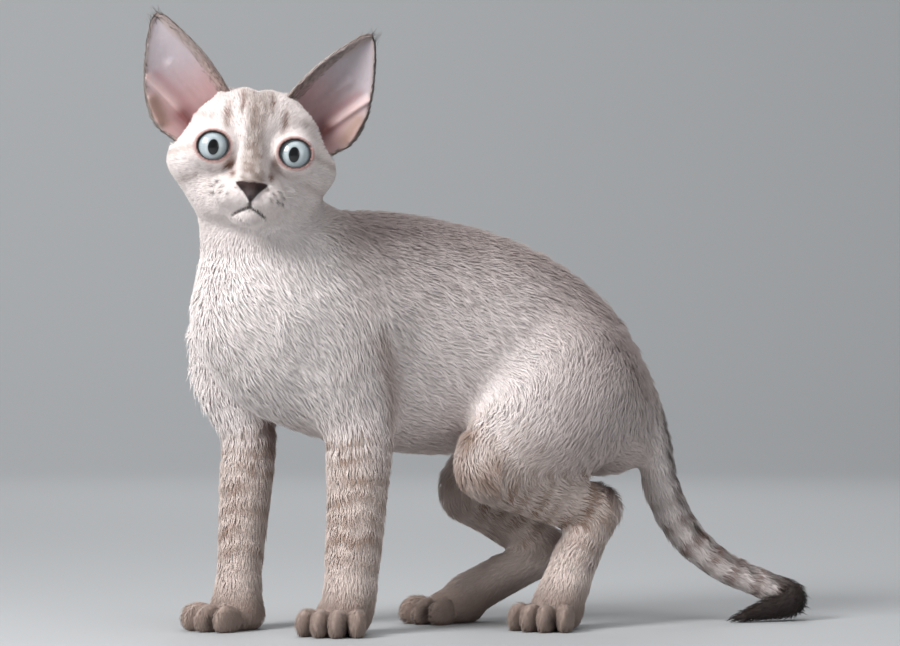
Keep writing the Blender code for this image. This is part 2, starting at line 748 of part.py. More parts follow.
def ear_shell(side):
    """One ear's shell: closed crescents, one above the other, from inside the head to the tip."""
    turn = np.linspace(0, 2 * np.pi, EAR_COLUMNS, endpoint=False)
    share = np.cos(turn)
    rows = []
    low_rows = np.linspace(EAR_FOOT, 0.88 * EAR_TIP, EAR_ROWS)
    for up in np.append(low_rows, EAR_TIP * np.array([0.93, 0.965, 0.99])):
        outer = np.interp(up, EAR_OUTER[:, 1], EAR_OUTER[:, 0])
        inner = np.interp(up, EAR_INNER[:, 1], EAR_INNER[:, 0])
        half = (outer - inner) / 2
        cup = np.interp(up, *EAR_CUP)
        bend = np.arctan2(2 * cup * share, half)
        thick = 0.5 * EAR_THICKNESS * np.sign(np.sin(turn)) * np.abs(np.sin(turn)) ** 0.5
        across = (outer + inner) / 2 + half * share - thick * np.sin(bend)
        deep = -cup * (1 - share**2) + thick * np.cos(bend)
        rows.append([ear_spot(side, *spot) for spot in zip(across, deep, np.full(EAR_COLUMNS, up))])
    count = len(rows)
    faces = [
        [row * EAR_COLUMNS + k, row * EAR_COLUMNS + (k + 1) % EAR_COLUMNS,
         (row + 1) * EAR_COLUMNS + (k + 1) % EAR_COLUMNS, (row + 1) * EAR_COLUMNS + k]
        for row in range(count - 1) for k in range(EAR_COLUMNS)
    ]
    faces.append(list(range(EAR_COLUMNS))[::-1])
    faces.append(list(range((count - 1) * EAR_COLUMNS, count * EAR_COLUMNS)))
    if side < 0:
        faces = [face[::-1] for face in faces]
    return mesh_of("shell", HEAD.outward(np.vstack(rows)), faces)


def make_head(body):
    """The head with its eyes and ears."""
    detail = DETAILS["head"]
    whole = flesh(body, detail.low, detail.high, detail.step, detail.triangles)
    part_off(whole, detail.cuts)
    head = named("head", islands(whole), HEAD_CENTRE, detail.finish)
    for side, word in ((1, "left"), (-1, "right")):
        subtract(head, eyeball("socket", side, EYE_RADIUS + GAP), solver="MANIFOLD")
        eyeball(f"eye_{word}", side, EYE_RADIUS).data.materials.append(EYE.material())
    for side, word in ((1, "left"), (-1, "right")):
        ear = ear_shell(side)
        subtract(ear, swollen(head, GAP))
        tip = HEAD.outward([ear_spot(side, 0, 0, 22)])[0]
        named(f"ear_{word}", islands(ear), tip, EAR_SKIN)


def make_pieces(body):
    """The rest of the flesh, in its named pieces."""
    whole = flesh(body, BODY_LOW, BODY_HIGH, BODY_STEP, BODY_TRIANGLES)
    part_off(whole, CUTS)
    pieces = islands(whole)
    for name, (middle, finish) in COARSE_PIECES.items():
        named(name, pieces, middle, finish)
    for name, detail in DETAILS.items():
        if name != "head":
            whole = flesh(body, detail.low, detail.high, detail.step, detail.triangles)
            part_off(whole, [FLOOR_CUT, *detail.cuts])
            named(name, islands(whole), detail.middle(), detail.finish)


def stand():
    """Moves everything so that the middle of the footprint is the origin."""
    things = list(bpy.data.objects)
    points = np.array([corner.co for thing in things for corner in thing.data.vertices])
    low = points.min(0)
    high = points.max(0)
    shift = Matrix.Translation((-(low[0] + high[0]) / 2, -(low[1] + high[1]) / 2, -low[2]))
    for thing in things:
        thing.data.transform(shift)


def main():
    """Makes the kitten."""
    clear_scene()
    body = Body(all_forms())
    make_head(body)
    make_pieces(body)
    stand()


if __name__ == "__main__":
    main()
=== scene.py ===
"""The looks of a life-size Devon Rex kitten that stands and turns its head to look over its left side.

One skin is wrapped over the same forms as the solids, but lies inside them by the depth of the coat.
The coat is made of thin tapered locks that are rooted in the skin and lie along the body. Skin and
coat take their colours from the same markings, with some painted shade among them. The ears are thin cups,
and the eyes are glossy balls.

Sizes are in millimetres in the kitten's own frame, where it faces -Y with its left side at +X. They
are turned into metres, and moved to where the solids stand, when a mesh is made.
"""

import logging
from collections.abc import Callable, Iterator
from dataclasses import dataclass, field
from enum import Enum
from math import radians, tan

import bpy
import numpy as np
from mathutils import Euler, Matrix, Vector


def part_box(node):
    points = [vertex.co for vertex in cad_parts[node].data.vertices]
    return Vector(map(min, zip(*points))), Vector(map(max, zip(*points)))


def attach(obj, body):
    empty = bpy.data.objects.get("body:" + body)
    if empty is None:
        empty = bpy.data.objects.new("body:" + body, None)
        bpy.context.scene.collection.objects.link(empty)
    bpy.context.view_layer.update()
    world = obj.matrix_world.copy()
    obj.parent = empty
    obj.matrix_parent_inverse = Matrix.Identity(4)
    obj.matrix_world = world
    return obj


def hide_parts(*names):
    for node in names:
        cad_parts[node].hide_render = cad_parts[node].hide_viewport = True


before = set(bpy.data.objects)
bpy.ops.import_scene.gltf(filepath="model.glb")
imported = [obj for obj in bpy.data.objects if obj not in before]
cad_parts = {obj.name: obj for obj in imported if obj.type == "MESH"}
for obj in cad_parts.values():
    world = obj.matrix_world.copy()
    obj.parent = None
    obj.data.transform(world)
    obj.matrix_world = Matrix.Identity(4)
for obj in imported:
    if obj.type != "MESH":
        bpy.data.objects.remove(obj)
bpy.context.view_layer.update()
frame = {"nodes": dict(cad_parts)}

LOG = logging.getLogger("kitten")
MM = 0.001
BODY = "root"
TURN = 2 * np.pi
FAR = 1e3
Array = np.ndarray


class Side(Enum):
    """The kitten's own two sides, and the way each lies along X."""

    LEFT = 1
    RIGHT = -1

    @property
    def word(self) -> str:
        """The side's name in lower case."""
        return self.name.lower()


# Driving sizes, the same as those of the solids
EYE_SPACING = 36.8
EYE_RADIUS = 9.4
EYE_DEPTH = -20.0
LID_WIDTH = 7.5
LID_HEIGHT = 6.7
HEAD_CENTRE = (3.0, -107.0, 222.0)
HEAD_TURN = (75.5, 0.0, 5.2)
EAR_THICKNESS = 2.6
EAR_TIP = 50.2
EAR_SPLAY = 18.0
EAR_ROOT = (27.0, -3.0, 15.0)
EAR_LEAN = (0.447, 0.06, 0.894)
EAR_BROW = 0.56  # how steeply the brow's edge runs across the ear's foot
GAP = 0.3
FLOOR = 0.4  # the height at which the paws are flattened

# The camera: where the photograph was taken from
VIEW_AZIMUTH = 70.0
VIEW_PLACE = (1350.3, -500.5, 122.0)
VIEW_RISE = 0.904
FOCAL_PIXELS = 3043.0
PICTURE_WIDTH = 900
SENSOR = 36.0


def fade(value: Array, start: float, end: float) -> Array:
    """A smooth step from 0 at start to 1 at end."""
    share = np.clip((value - start) / (end - start), 0.0, 1.0)
    return share * share * (3.0 - 2.0 * share)


def hill(away: Array) -> Array:
    """A bell that is 1 where away is 0."""
    return np.exp(-(away**2))


def mixed(first: Array, second: Array, share: Array) -> Array:
    """Blends rows, from first where the share is 0 to second where it is 1."""
    return first + (second - first) * share[:, None]


def unit(rows: Array) -> Array:
    """The rows with a length of 1."""
    return rows / (np.linalg.norm(rows, axis=-1, keepdims=True) + 1e-9)


def across_from(rows: Array, way: Array) -> Array:
    """What is left of rows when their part along way is taken out."""
    return rows - way * (rows * way).sum(-1, keepdims=True)


def uneven(points: Array, size: float, seed: int, waves: int = 9) -> Array:
    """A soft pattern without a grid, made of crossing waves.

    Args:
        points: Places.
        size: About how far apart its crests are.
        seed: Which of many such patterns.
        waves: How many waves cross.

    Returns:
        A number for each place, mostly from -1 to 1.
    """
    draw = np.random.default_rng(seed)
    pitch = unit(draw.normal(size=(waves, 3))) * (TURN / size) * draw.uniform(0.6, 1.5, (waves, 1))
    return np.sin(points @ pitch.T + draw.uniform(0, TURN, waves)).sum(1) / (0.4 * waves)


def turned(yaw: float = 0.0, pitch: float = 0.0, roll: float = 0.0) -> Array:
    """The rotation by yaw, pitch and roll in degrees."""
    return np.array(Euler((radians(pitch), radians(roll), radians(yaw)), "XYZ").to_matrix())


def smooth_curve(spots: list, steps: int) -> Array:
    """A smooth curve through given spots.

    Args:
        spots: Rows of numbers.
        steps: How many rows each stretch is divided into.

    Returns:
        The rows along the curve, with both ends.
    """
    rows = np.array(spots, float)
    ends = np.vstack([2 * rows[0] - rows[1], rows, 2 * rows[-1] - rows[-2]])
    filled = []
    for a, b, c, d in zip(ends, ends[1:], ends[2:], ends[3:]):
        for t in np.arange(steps) / steps:
            filled.append(0.5 * (2 * b + (c - a) * t + (2 * a - 5 * b + 4 * c - d) * t**2
                                 + (3 * b - a - 3 * c + d) * t**3))
    return np.array(filled + [rows[-1]])


def near_line(points: Array, start: tuple, end: tuple) -> Array:
    """How far points of a plane are from a straight stretch.

    Args:
        points: Places with two numbers each.
        start: One end of the stretch.
        end: Its other end.

    Returns:
        A distance for each point.
    """
    start = np.array(start, float)
    along = np.array(end, float) - start
    share = np.clip((points - start) @ along / (along @ along), 0, 1)
    return np.linalg.norm(points - start - share[:, None] * along, axis=1)


@dataclass(eq=False)
class Frame:
    """A place and a rotation that a group of forms shares."""

    origin: tuple = (0.0, 0.0, 0.0)
    turn: Array = field(default_factory=lambda: np.eye(3))

    def inward(self, points: Array) -> Array:
        """Points of the kitten's frame in this frame."""
        return (points - np.array(self.origin)) @ self.turn

    def outward(self, points: Array) -> Array:
        """Points of this frame in the kitten's frame."""
        return np.asarray(points, float) @ self.turn.T + np.array(self.origin)


WORLD = Frame()
HEAD = Frame(HEAD_CENTRE, turned(*HEAD_TURN))
EYE_PLACES = HEAD.outward([(side.value * EYE_SPACING / 2, EYE_DEPTH, 0) for side in Side])


def standing_shift() -> Array:
    """How far the solids stand from the kitten's own frame, read from the two eyes.

    Returns:
        The shift in millimetres.
    """
    boxes = [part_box(f"eye_{side.word}") for side in Side]
    found = np.array([(np.array(low) + np.array(high)) / 2 for low, high in boxes]) / MM
    return (found - EYE_PLACES).mean(0)


SHIFT = standing_shift()


@dataclass
class Beside:
    """Where points are beside one stretch of a line: their offset from it, and the line's size there."""

    offset: Array
    arc: Array
    width: Array
    depth: Array
    axes: tuple


def stretches(rows: Array, lie: tuple, points: Array) -> Iterator[Beside]:
    """Walks along a line and finds points beside each of its stretches.

    Args:
        rows: Stations (x, y, z, width, depth) along the line.
        lie: The direction that the depth of a section points along.
        points: Places in the line's frame.

    Yields:
        The points beside each stretch. Its axes lie across, in depth and along.
    """
    done = 0.0
    for start, end in zip(rows, rows[1:]):
        along = end[:3] - start[:3]
        length = np.linalg.norm(along)
        along = along / length
        deep = np.array(lie) - along * (np.array(lie) @ along)
        deep = deep / np.linalg.norm(deep)
        away = points - start[:3]
        share = np.clip(away @ along / length, 0.0, 1.0)
        width, depth = (start[k] + share * (end[k] - start[k]) for k in (3, 4))
        yield Beside(away - share[:, None] * (end[:3] - start[:3]), done + share * length, width, depth,
                     (np.cross(deep, along), deep, along))
        done += length


@dataclass(kw_only=True)
class Form:
    """A form of the flesh.

    Blend is how widely it melts into the forms before it, and carve takes it away from them. Turn is
    its yaw, pitch and roll in its frame.
    """

    blend: float = 8.0
    turn: tuple = (0.0, 0.0, 0.0)
    frame: Frame = WORLD
    carve: bool = False

    def seen(self, points: Array, centre: tuple) -> Array:
        """Points as seen from a centre, in the form's own turn."""
        return (self.frame.inward(points) - np.array(centre)) @ turned(*self.turn)

    def around(self, centre: tuple, size: float) -> tuple:
        """The bounding box of a ball in the kitten's frame."""
        middle = self.frame.outward([centre])[0]
        return middle - size, middle + size


@dataclass
class Ball(Form):
    """An ellipsoid."""

    centre: tuple
    radii: tuple

    def reach(self) -> tuple:
        """Its bounding box."""
        return self.around(self.centre, max(self.radii))

    def distance(self, points: Array) -> Array:
        """Finds roughly how far points are outside the form.

        Args:
            points: Places in the kitten's frame.

        Returns:
            A distance for each point, less than 0 inside.
        """
        scaled = self.seen(points, self.centre) / np.array(self.radii)
        size = np.linalg.norm(scaled, axis=1)
        slope = np.linalg.norm(scaled / np.array(self.radii), axis=1) + 1e-9
        return size * (size - 1.0) / slope


@dataclass
class Limb(Form):
    """Elliptical sections along a smooth centre line through stations (x, y, z, width, depth).

    Width and depth are half sizes. The depth of a section points along lie.
    """

    stations: list
    lie: tuple = (0.0, 0.0, 1.0)
    steps: int = 5

    def reach(self) -> tuple:
        """Finds its bounding box.

        Returns:
            The low and the high corner.
        """
        rows = smooth_curve(self.stations, self.steps)
        centres = self.frame.outward(rows[:, :3])
        sizes = rows[:, 3:].max(1)[:, None]
        return (centres - sizes).min(0), (centres + sizes).max(0)

    def distance(self, points: Array) -> Array:
        """Finds roughly how far points are outside the form.

        Args:
            points: Places in the kitten's frame.

        Returns:
            A distance for each point, less than 0 inside.
        """
        best = np.full(len(points), FAR)
        rows = smooth_curve(self.stations, self.steps)
        for beside in stretches(rows, self.lie, self.frame.inward(points)):
            sizes = (beside.width, beside.depth, np.minimum(beside.width, beside.depth))
            a, b, c = (beside.offset @ axis / size for axis, size in zip(beside.axes, sizes))
            size = np.sqrt(a * a + b * b + c * c)
            slope = np.sqrt((a / sizes[0]) ** 2 + (b / sizes[1]) ** 2 + (c / sizes[2]) ** 2) + 1e-9
            best = np.minimum(best, size * (size - 1.0) / slope)
        return best


@dataclass
class Ring(Form):
    """An elliptical ring of round section, lying across its own second axis."""

    centre: tuple
    width: float
    height: float
    thickness: float

    def reach(self) -> tuple:
        """Its bounding box."""
        return self.around(self.centre, max(self.width, self.height) + self.thickness)

    def distance(self, points: Array) -> Array:
        """Finds roughly how far points are outside the form.

        Args:
            points: Places in the kitten's frame.

        Returns:
            A distance for each point, less than 0 inside.
        """
        local = self.seen(points, self.centre)
        across = local[:, 0] / self.width
        up = local[:, 2] / self.height
        size = np.hypot(across, up) + 1e-9
        slope = np.hypot(across / self.width, up / self.height) / size + 1e-9
        return np.hypot((size - 1.0) / slope, local[:, 1]) - self.thickness


def blended(first: Array, second: Array, width: float) -> Array:
    """The smooth union of two distances."""
    share = np.clip(0.5 + 0.5 * (first - second) / width, 0.0, 1.0)
    return first + (second - first) * share - width * share * (1.0 - share)


# The ear's outline and the depth of its cup by its height, in the ear's own frame
EAR_OUTER = smooth_curve([(11, -12), (15.5, -5), (19.6, 2), (20.8, 9), (19.4, 19), (15.9, 28), (11.9, 36),
                          (7.8, 43), (3.9, 48.2), (0.3, EAR_TIP)], 4)
EAR_INNER = smooth_curve([(-18, -12), (-19.5, -5), (-18.6, 4), (-17, 14), (-14.4, 24), (-11.2, 32.5),
                          (-7.2, 41), (-3.4, 47.8), (0.3, EAR_TIP)], 4)
EAR_CUP = ((-12, 0, 12, 25, 38, 50), (15.0, 14.0, 11.0, 7.5, 3.8, 1.4))
EAR_NARROWEST = 2.5


def ear_frame() -> Frame:
    """Finds the frame of the left ear in the head's frame.

    Returns:
        A frame whose axes lie to the ear's outer edge, behind it and up.
    """
    up = Vector(EAR_LEAN).normalized()
    front = Vector((np.sin(radians(EAR_SPLAY)), -np.cos(radians(EAR_SPLAY)), 0.0))
    front = (front - up * front.dot(up)).normalized()
    return Frame(EAR_ROOT, np.array(Matrix((up.cross(front), front, up)).transposed()))


EAR = ear_frame()


def ear_spot(side: int, across: float, deep: float, up: float) -> tuple:
    """A place of the ear's frame in the head's frame."""
    return tuple(EAR.outward([(across, deep, up)])[0] * (side, 1, 1))


def ear_edges(up: Array) -> tuple:
    """Where the ear's outer and inner edges are at given heights."""
    return np.interp(up, EAR_OUTER[:, 1], EAR_OUTER[:, 0]), np.interp(up, EAR_INNER[:, 1], EAR_INNER[:, 0])


@dataclass
class Leaf(Form):
    """The hollow in front of an ear, which is taken away from the head."""

    side: int

    def reach(self) -> tuple:
        """Finds its bounding box.

        Returns:
            The low and the high corner.
        """
        spots = [(x, y, z) for x in (-22, 23) for y in (-18, 12) for z in (-14, 52)]
        world = HEAD.outward(EAR.outward(spots) * (self.side, 1, 1))
        return world.min(0), world.max(0)

    def distance(self, points: Array) -> Array:
        """Finds roughly how far points are outside the form.

        Args:
            points: Places in the kitten's frame.

        Returns:
            A distance for each point, less than 0 inside.
        """
        across, deep, up = EAR.inward(HEAD.inward(points) * (self.side, 1, 1)).T
        outer, inner = ear_edges(up)
        half = np.maximum(0.5 * (outer - inner), EAR_NARROWEST)
        middle = 0.5 * (outer + inner)
        rim = (np.abs(across - middle) - half) * 0.95
        share = np.clip((across - middle) / half, -1.1, 1.1)
        cup = np.interp(up, *EAR_CUP)
        away = (deep + cup * (1 - share**2)) / np.sqrt(1 + (2 * cup * share / half) ** 2)
        brow = 0.87 * (-1.0 - EAR_BROW * across - up)
        front = np.maximum(-EAR_THICKNESS / 2 - GAP - away, deep - 14.0)
        return -blended(-np.maximum(rim - 0.8, front), -brow, 3.0)


def skull_half(side: int) -> list:
    """Makes cheek, brow, whisker pad, lids and ear hollow of one side.

    Args:
        side: 1 for the left and -1 for the right.

    Returns:
        The forms, in the head's own frame.
    """
    eye = (side * EYE_SPACING / 2, EYE_DEPTH, 0)
    lids = (side * (EYE_SPACING / 2 + 0.2), EYE_DEPTH - 6.8, 0)
    splay = (side * 5.0, 0, 0)
    return [
        Ball((side * 24, 0, -7), (15.5, 22, 16.5), blend=9, frame=HEAD),
        Ball((side * 16, -9, 12), (13, 13, 10), blend=8, frame=HEAD),
        Ball((side * 15, 2, -20), (14.5, 20, 11.5), blend=9, frame=HEAD),
        Ball((side * 23, 6, 16), (12.5, 13, 13), blend=8, frame=HEAD),
        Ball((side * 6.8, -30.2, -22), (9.4, 9.8, 6.6), blend=4, frame=HEAD),
        Ball(eye, (EYE_RADIUS + 0.9,) * 3, blend=7, frame=HEAD),
        Ball(lids, (LID_WIDTH, 6.0, LID_HEIGHT), blend=0.6, turn=splay, frame=HEAD, carve=True),
        Ring(lids, LID_WIDTH + 0.5, LID_HEIGHT + 0.5, 0.85, blend=2.0, turn=splay, frame=HEAD),
        Leaf(side, blend=1.5, carve=True),
        Ball(ear_spot(side, 0.5, -2, -0.5), (3.4, 4.2, 3.4), blend=3, frame=HEAD),
    ]


def mouth_half(side: int) -> list:
    """Makes the mouth's line and the nostril of one side.

    Args:
        side: 1 for the left and -1 for the right.

    Returns:
        The forms, in the head's own frame.
    """
    return [
        Limb([(0, -40.0, -26.6, 1.0, 2.0), (side * 3.6, -39.4, -28.2, 1.0, 2.0),
              (side * 7.4, -37.0, -30.4, 1.0, 2.0), (side * 11, -32.0, -31.6, 0.8, 1.6)],
             lie=(0, -1, 0), blend=0.8, frame=HEAD, carve=True),
        Ball((side * 4.1, -43.6, -18.6), (1.7, 2.6, 1.2), blend=0.5, turn=(side * -20, 0, 0), frame=HEAD,
             carve=True),
        Limb([(side * 4.6, -43.2, -18.8, 0.6, 0.6), (side * 7.4, -40.0, -17.2, 0.5, 0.5)], blend=0.4,
             frame=HEAD, carve=True),
    ]


def mirrored(make: Callable[[int], list]) -> list:
    """The forms that make returns for the left and then the right side."""
    return [form for side in Side for form in make(side.value)]


SKULL = [
    Ball((0, 8, 2), (34, 35, 28), blend=10, frame=HEAD),
    Ball((0, -11, 12), (19, 16, 13), blend=9, frame=HEAD),
    Ball((0, -20, -19), (16, 18, 11.5), blend=8, frame=HEAD),
    Limb([(0, -16, 14, 9, 9), (0, -22, 4, 7.5, 8), (0, -29.0, -7, 6.8, 6), (0, -34.5, -13, 6.4, 5)],
         lie=(0, -1, 1), blend=6, frame=HEAD),
    Ball((0, -29.0, -30.4), (8.4, 8.2, 5.2), blend=3.5, frame=HEAD),
    Ball((0, -27, -23), (8, 12.4, 7), blend=4, frame=HEAD),
    Ball((0, -15, -25), (17, 17, 9), blend=7, frame=HEAD),
]
NOSE = [
    Limb([(-5.6, -38.8, -17.2, 2.0, 2.0), (0, -40.8, -17.0, 2.4, 2.6), (5.6, -38.8, -17.2, 2.0, 2.0)],
         blend=1.4, frame=HEAD),
    Limb([(0, -40.6, -18.5, 4.6, 2.6), (0, -40.2, -21, 2.6, 2.5), (0, -39.4, -23.6, 1.1, 1.8)],
         lie=(0, -1, 0), blend=1.0, frame=HEAD),
    Limb([(0, -42.2, -22.8, 0.5, 1.0), (0, -41.2, -26.0, 0.7, 1.5)], lie=(0, -1, 0), blend=0.8,
         frame=HEAD, carve=True),
]
SPINE = Limb([(-9, -103, 150, 30, 36), (-14, -84, 146, 38, 49), (-22, -50, 143, 40, 57),
              (-27, -15, 139, 41, 58), (-27, 20, 134, 41, 54), (-24, 50, 122, 38, 46),
              (-18, 71, 103, 32, 33), (-14, 82, 94, 22, 22)], blend=14)
NECK = Limb([(-14, -84, 160, 36, 40), (-11, -96, 184, 30, 32), (-5, -101, 205, 27, 28)], lie=(0, 1, 0),
            blend=14)
FORELEG_LEFT = Limb([(2, -62, 146, 20, 30), (4, -65, 124, 17, 25), (3, -56, 98, 15, 19),
                     (6, -57, 68, 14, 15.5), (10, -60.5, 36, 13, 14), (12, -63, 16, 12.5, 12.5)],
                    lie=(0, 1, 0), blend=10)
FORELEG_RIGHT = Limb([(-40, -102, 138, 18, 25), (-43, -103, 118, 15.5, 21), (-42, -96, 94, 14, 15),
                      (-39, -98, 66, 13, 13.5), (-36.5, -101, 36, 11.5, 12), (-35, -103, 16, 11.5, 11.5)],
                     lie=(0, 1, 0), blend=10)
THIGH_LEFT = Limb([(2, 58, 118, 26, 36), (8, 36, 98, 22, 34), (12, 10, 80, 17, 22)], lie=(0, 1, -0.4),
                  blend=12)
SHANK_LEFT = Limb([(12, 6, 77, 16, 17), (10, 34, 66, 14, 16), (8, 60, 55, 12, 13)])
HOCK_LEFT = Limb([(7, 64, 58, 11, 12), (13, 50, 34, 11.5, 12), (18, 40, 16, 12, 12)], lie=(0, 1, 0), blend=6)
THIGH_RIGHT = Limb([(-42, 66, 112, 24, 34), (-50, 42, 86, 19, 28), (-52, 22, 66, 15, 18)], lie=(0, 1, -0.4),
                   blend=12)
SHANK_RIGHT = Limb([(-52, 20, 62, 14, 15), (-46, 38, 48, 12, 13), (-38, 52, 36, 11.5, 12)])
HOCK_RIGHT = Limb([(-37, 56, 34, 11, 11), (-37, 34, 24, 11, 11), (-36, 14, 14, 11.5, 11)], blend=6)
TAIL = Limb([(-13, 84, 112, 13, 13), (-12, 99, 90, 10, 10.5), (-12, 105, 66, 9.5, 10), (-10, 116, 44, 9, 9.5),
             (-6, 133, 28, 8, 8.5), (0, 153, 18, 7.5, 8), (6, 166, 12.5, 7, 8), (12, 163, 8.8, 6.5, 7.5),
             (14, 149, 6.4, 5.5, 6.2), (15, 136, 3.6, 3.2, 3.6), (15, 129, 2, 1.6, 1.8)])


@dataclass
class Paw:
    """A paw on the floor with four toes. Its middle is at x, y and its toes point to heading."""

    x: float
    y: float
    heading: float
    width: float = 31.0
    length: float = 34.0
    height: float = 15.0

    @property
    def toe(self) -> float:
        """Half of a toe's width."""
        return self.width / 8

    def frame(self) -> Frame:
        """The paw's own frame, with its toes at -Y."""
        return Frame((self.x, self.y, 0.0), turned(self.heading))

    def forms(self) -> list:
        """Makes the paw's back and its toes.

        Returns:
            The forms, the back first.
        """
        place = self.frame()
        made = [Ball((0, 6, self.height * 0.48), (self.width * 0.42, self.length * 0.42, self.height * 0.66),
                     blend=6, frame=place)]
        for offset, lead in ((-3, 0.0), (-1, 4.5), (1, 4.5), (3, 0.0)):
            made.append(Ball((offset * self.toe, -self.length * 0.22 - lead, self.height * 0.42),
                             (self.toe * 1.12, self.length * 0.27, self.height * 0.52),
                             blend=1.6, turn=(offset * 5.0, 0, 0), frame=place))
        return made


PAWS = [Paw(16, -70, 55), Paw(-31, -110, 20), Paw(21, 33, 45, width=30), Paw(-35, 0, 15, width=29)]


def all_forms() -> list:
    """Everything that is blended into one flesh, in the order of the solids.

    Returns:
        The forms.
    """
    toes = [paw.forms() for paw in PAWS]
    return [SPINE, NECK, FORELEG_LEFT, *toes[0], FORELEG_RIGHT, *toes[1], THIGH_LEFT, SHANK_LEFT, HOCK_LEFT,
            *toes[2], THIGH_RIGHT, SHANK_RIGHT, HOCK_RIGHT, *toes[3], TAIL, *SKULL, *mirrored(skull_half),
            *NOSE, *mirrored(mouth_half)]


@dataclass(frozen=True)
class Grade:
    """One measure of the coat in each region of the body."""

    body: float
    leg: float
    paw: float
    tail: float
    head: float
    muzzle: float
    lids: float


COAT_DEPTH = Grade(3.0, 2.0, 0.8, 1.9, 1.3, 0.5, 0.15)
LOCK_LENGTH = Grade(8.2, 6.0, 3.4, 6.0, 3.4, 2.0, 1.6)
LOCK_WIDTH = Grade(0.52, 0.46, 0.32, 0.46, 0.33, 0.25, 0.24)
LOCK_DENSITY = Grade(1.0, 1.35, 2.6, 1.6, 2.9, 5.0, 5.5)
EYE_OUT = 18.6  # how far the middle of a lid is from the middle of the face
CHEEK_SLIMMING = 2.6


class Relief:
    """How much each point belongs to each region, and how deep and long the coat is there."""

    def __init__(self, points: Array) -> None:
        """Measures the regions.

        Args:
            points: Places in the kitten's frame.
        """
        self.points = points
        self.local = HEAD.inward(points)
        head = 1 - fade(np.linalg.norm(self.local / (44, 48, 41), axis=1), 0.95, 1.35)
        self.head = head * fade(self.local[:, 2] + 0.20 * self.local[:, 1], -54, -37)
        self.muzzle = 1 - fade(np.linalg.norm((self.local - (0, -36, -19)) / (16, 16, 13), axis=1), 0.7, 1.5)
        lids = [np.linalg.norm((self.local - (side.value * EYE_OUT, -27, 0)) / (1, 1.4, 0.92), axis=1)
                for side in Side]
        self.lids = 1 - fade(np.minimum(*lids), 8.4, 13)
        self.tail = fade(points[:, 1], 88, 102)
        self.leg = (1 - fade(points[:, 2], 66, 108)) * (1 - self.tail)
        self.paw = (1 - fade(points[:, 2], 14, 30)) * (1 - self.tail)

    def level(self, grade: Grade) -> Array:
        """A measure at each point, blended from its values in the regions.

        Args:
            grade: The values.

        Returns:
            The blended numbers.
        """
        value = np.full(len(self.points), grade.body)
        for name in ("leg", "paw", "tail", "head", "muzzle", "lids"):
            value += (getattr(grade, name) - value) * getattr(self, name)
        return value

    def depth(self) -> Array:
        """Finds how far the skin lies inside the outline.

        Returns:
            The coat's depth at each point, and more at the lower cheeks, which are slimmer.
        """
        x, y, z = self.local.T
        cheek = self.head * fade(np.abs(x), 17, 28) * fade(z, -36, -27) * (1 - fade(z, -17, -5))
        return self.level(COAT_DEPTH) + CHEEK_SLIMMING * cheek * (1 - fade(y, 2, 26)) * fade(y, -40, -22)


class Flesh:
    """The blended forms and the distance from the skin, which lies inside them by the coat's depth."""

    NOWHERE = 60.0  # the distance where no form is near
    MARGIN = 6.0
    STRIDE = 1.2

    def __init__(self, forms: list) -> None:
        """Notes the forms with their bounding boxes."""
        self.forms = [(form, *form.reach()) for form in forms]

    def outline(self, points: Array) -> Array:
        """Finds the distance outside the coat's outline.

        Args:
            points: Places.

        Returns:
            A distance for each point, right near the outline.
        """
        result = np.full(len(points), self.NOWHERE)
        for form, low, high in self.forms:
            margin = form.blend + self.MARGIN
            near = np.all((points > low - margin) & (points < high + margin), axis=1)
            if not near.any():
                continue
            away = form.distance(points[near])
            if form.carve:
                result[near] = -blended(-result[near], away, form.blend)
            else:
                result[near] = blended(result[near], away, form.blend)
        return result

    def value(self, points: Array) -> Array:
        """The distance outside the skin."""
        return np.maximum(self.outline(points) + Relief(points).depth(), FLOOR + 0.15 - points[:, 2])

    def slope(self, points: Array, reach: float = 0.2) -> Array:
        """The way out of the skin, not of length 1."""
        return np.stack([(self.value(points + step) - self.value(points - step)) / (2 * reach)
                         for step in np.eye(3) * reach], axis=1)

    def settle(self, points: Array, rounds: int = 3) -> Array:
        """Moves points straight on to the skin.

        Args:
            points: Places near the skin.
            rounds: How often they are moved.

        Returns:
            The moved points.
        """
        for _ in range(rounds):
            slope = self.slope(points)
            size = (slope**2).sum(1, keepdims=True) + 1e-6
            step = self.value(points)[:, None] * slope / size
            points = points - np.clip(step, -self.STRIDE, self.STRIDE)
        return points


@dataclass
class Zone:
    """How finely one axis is divided: fine steps in the middle, coarse ones on both sides."""

    low: float
    fine_low: float
    fine_high: float
    high: float

    def axis(self, fine: float, coarse: float) -> Array:
        """Finds the places of the grid's planes.

        Args:
            fine: The steps in the middle.
            coarse: The steps on both sides.

        Returns:
            The places.
        """
        stops = ((self.low, self.fine_low, coarse), (self.fine_low, self.fine_high, fine),
                 (self.fine_high, self.high, coarse))
        return np.concatenate([np.arange(*stop) for stop in stops])


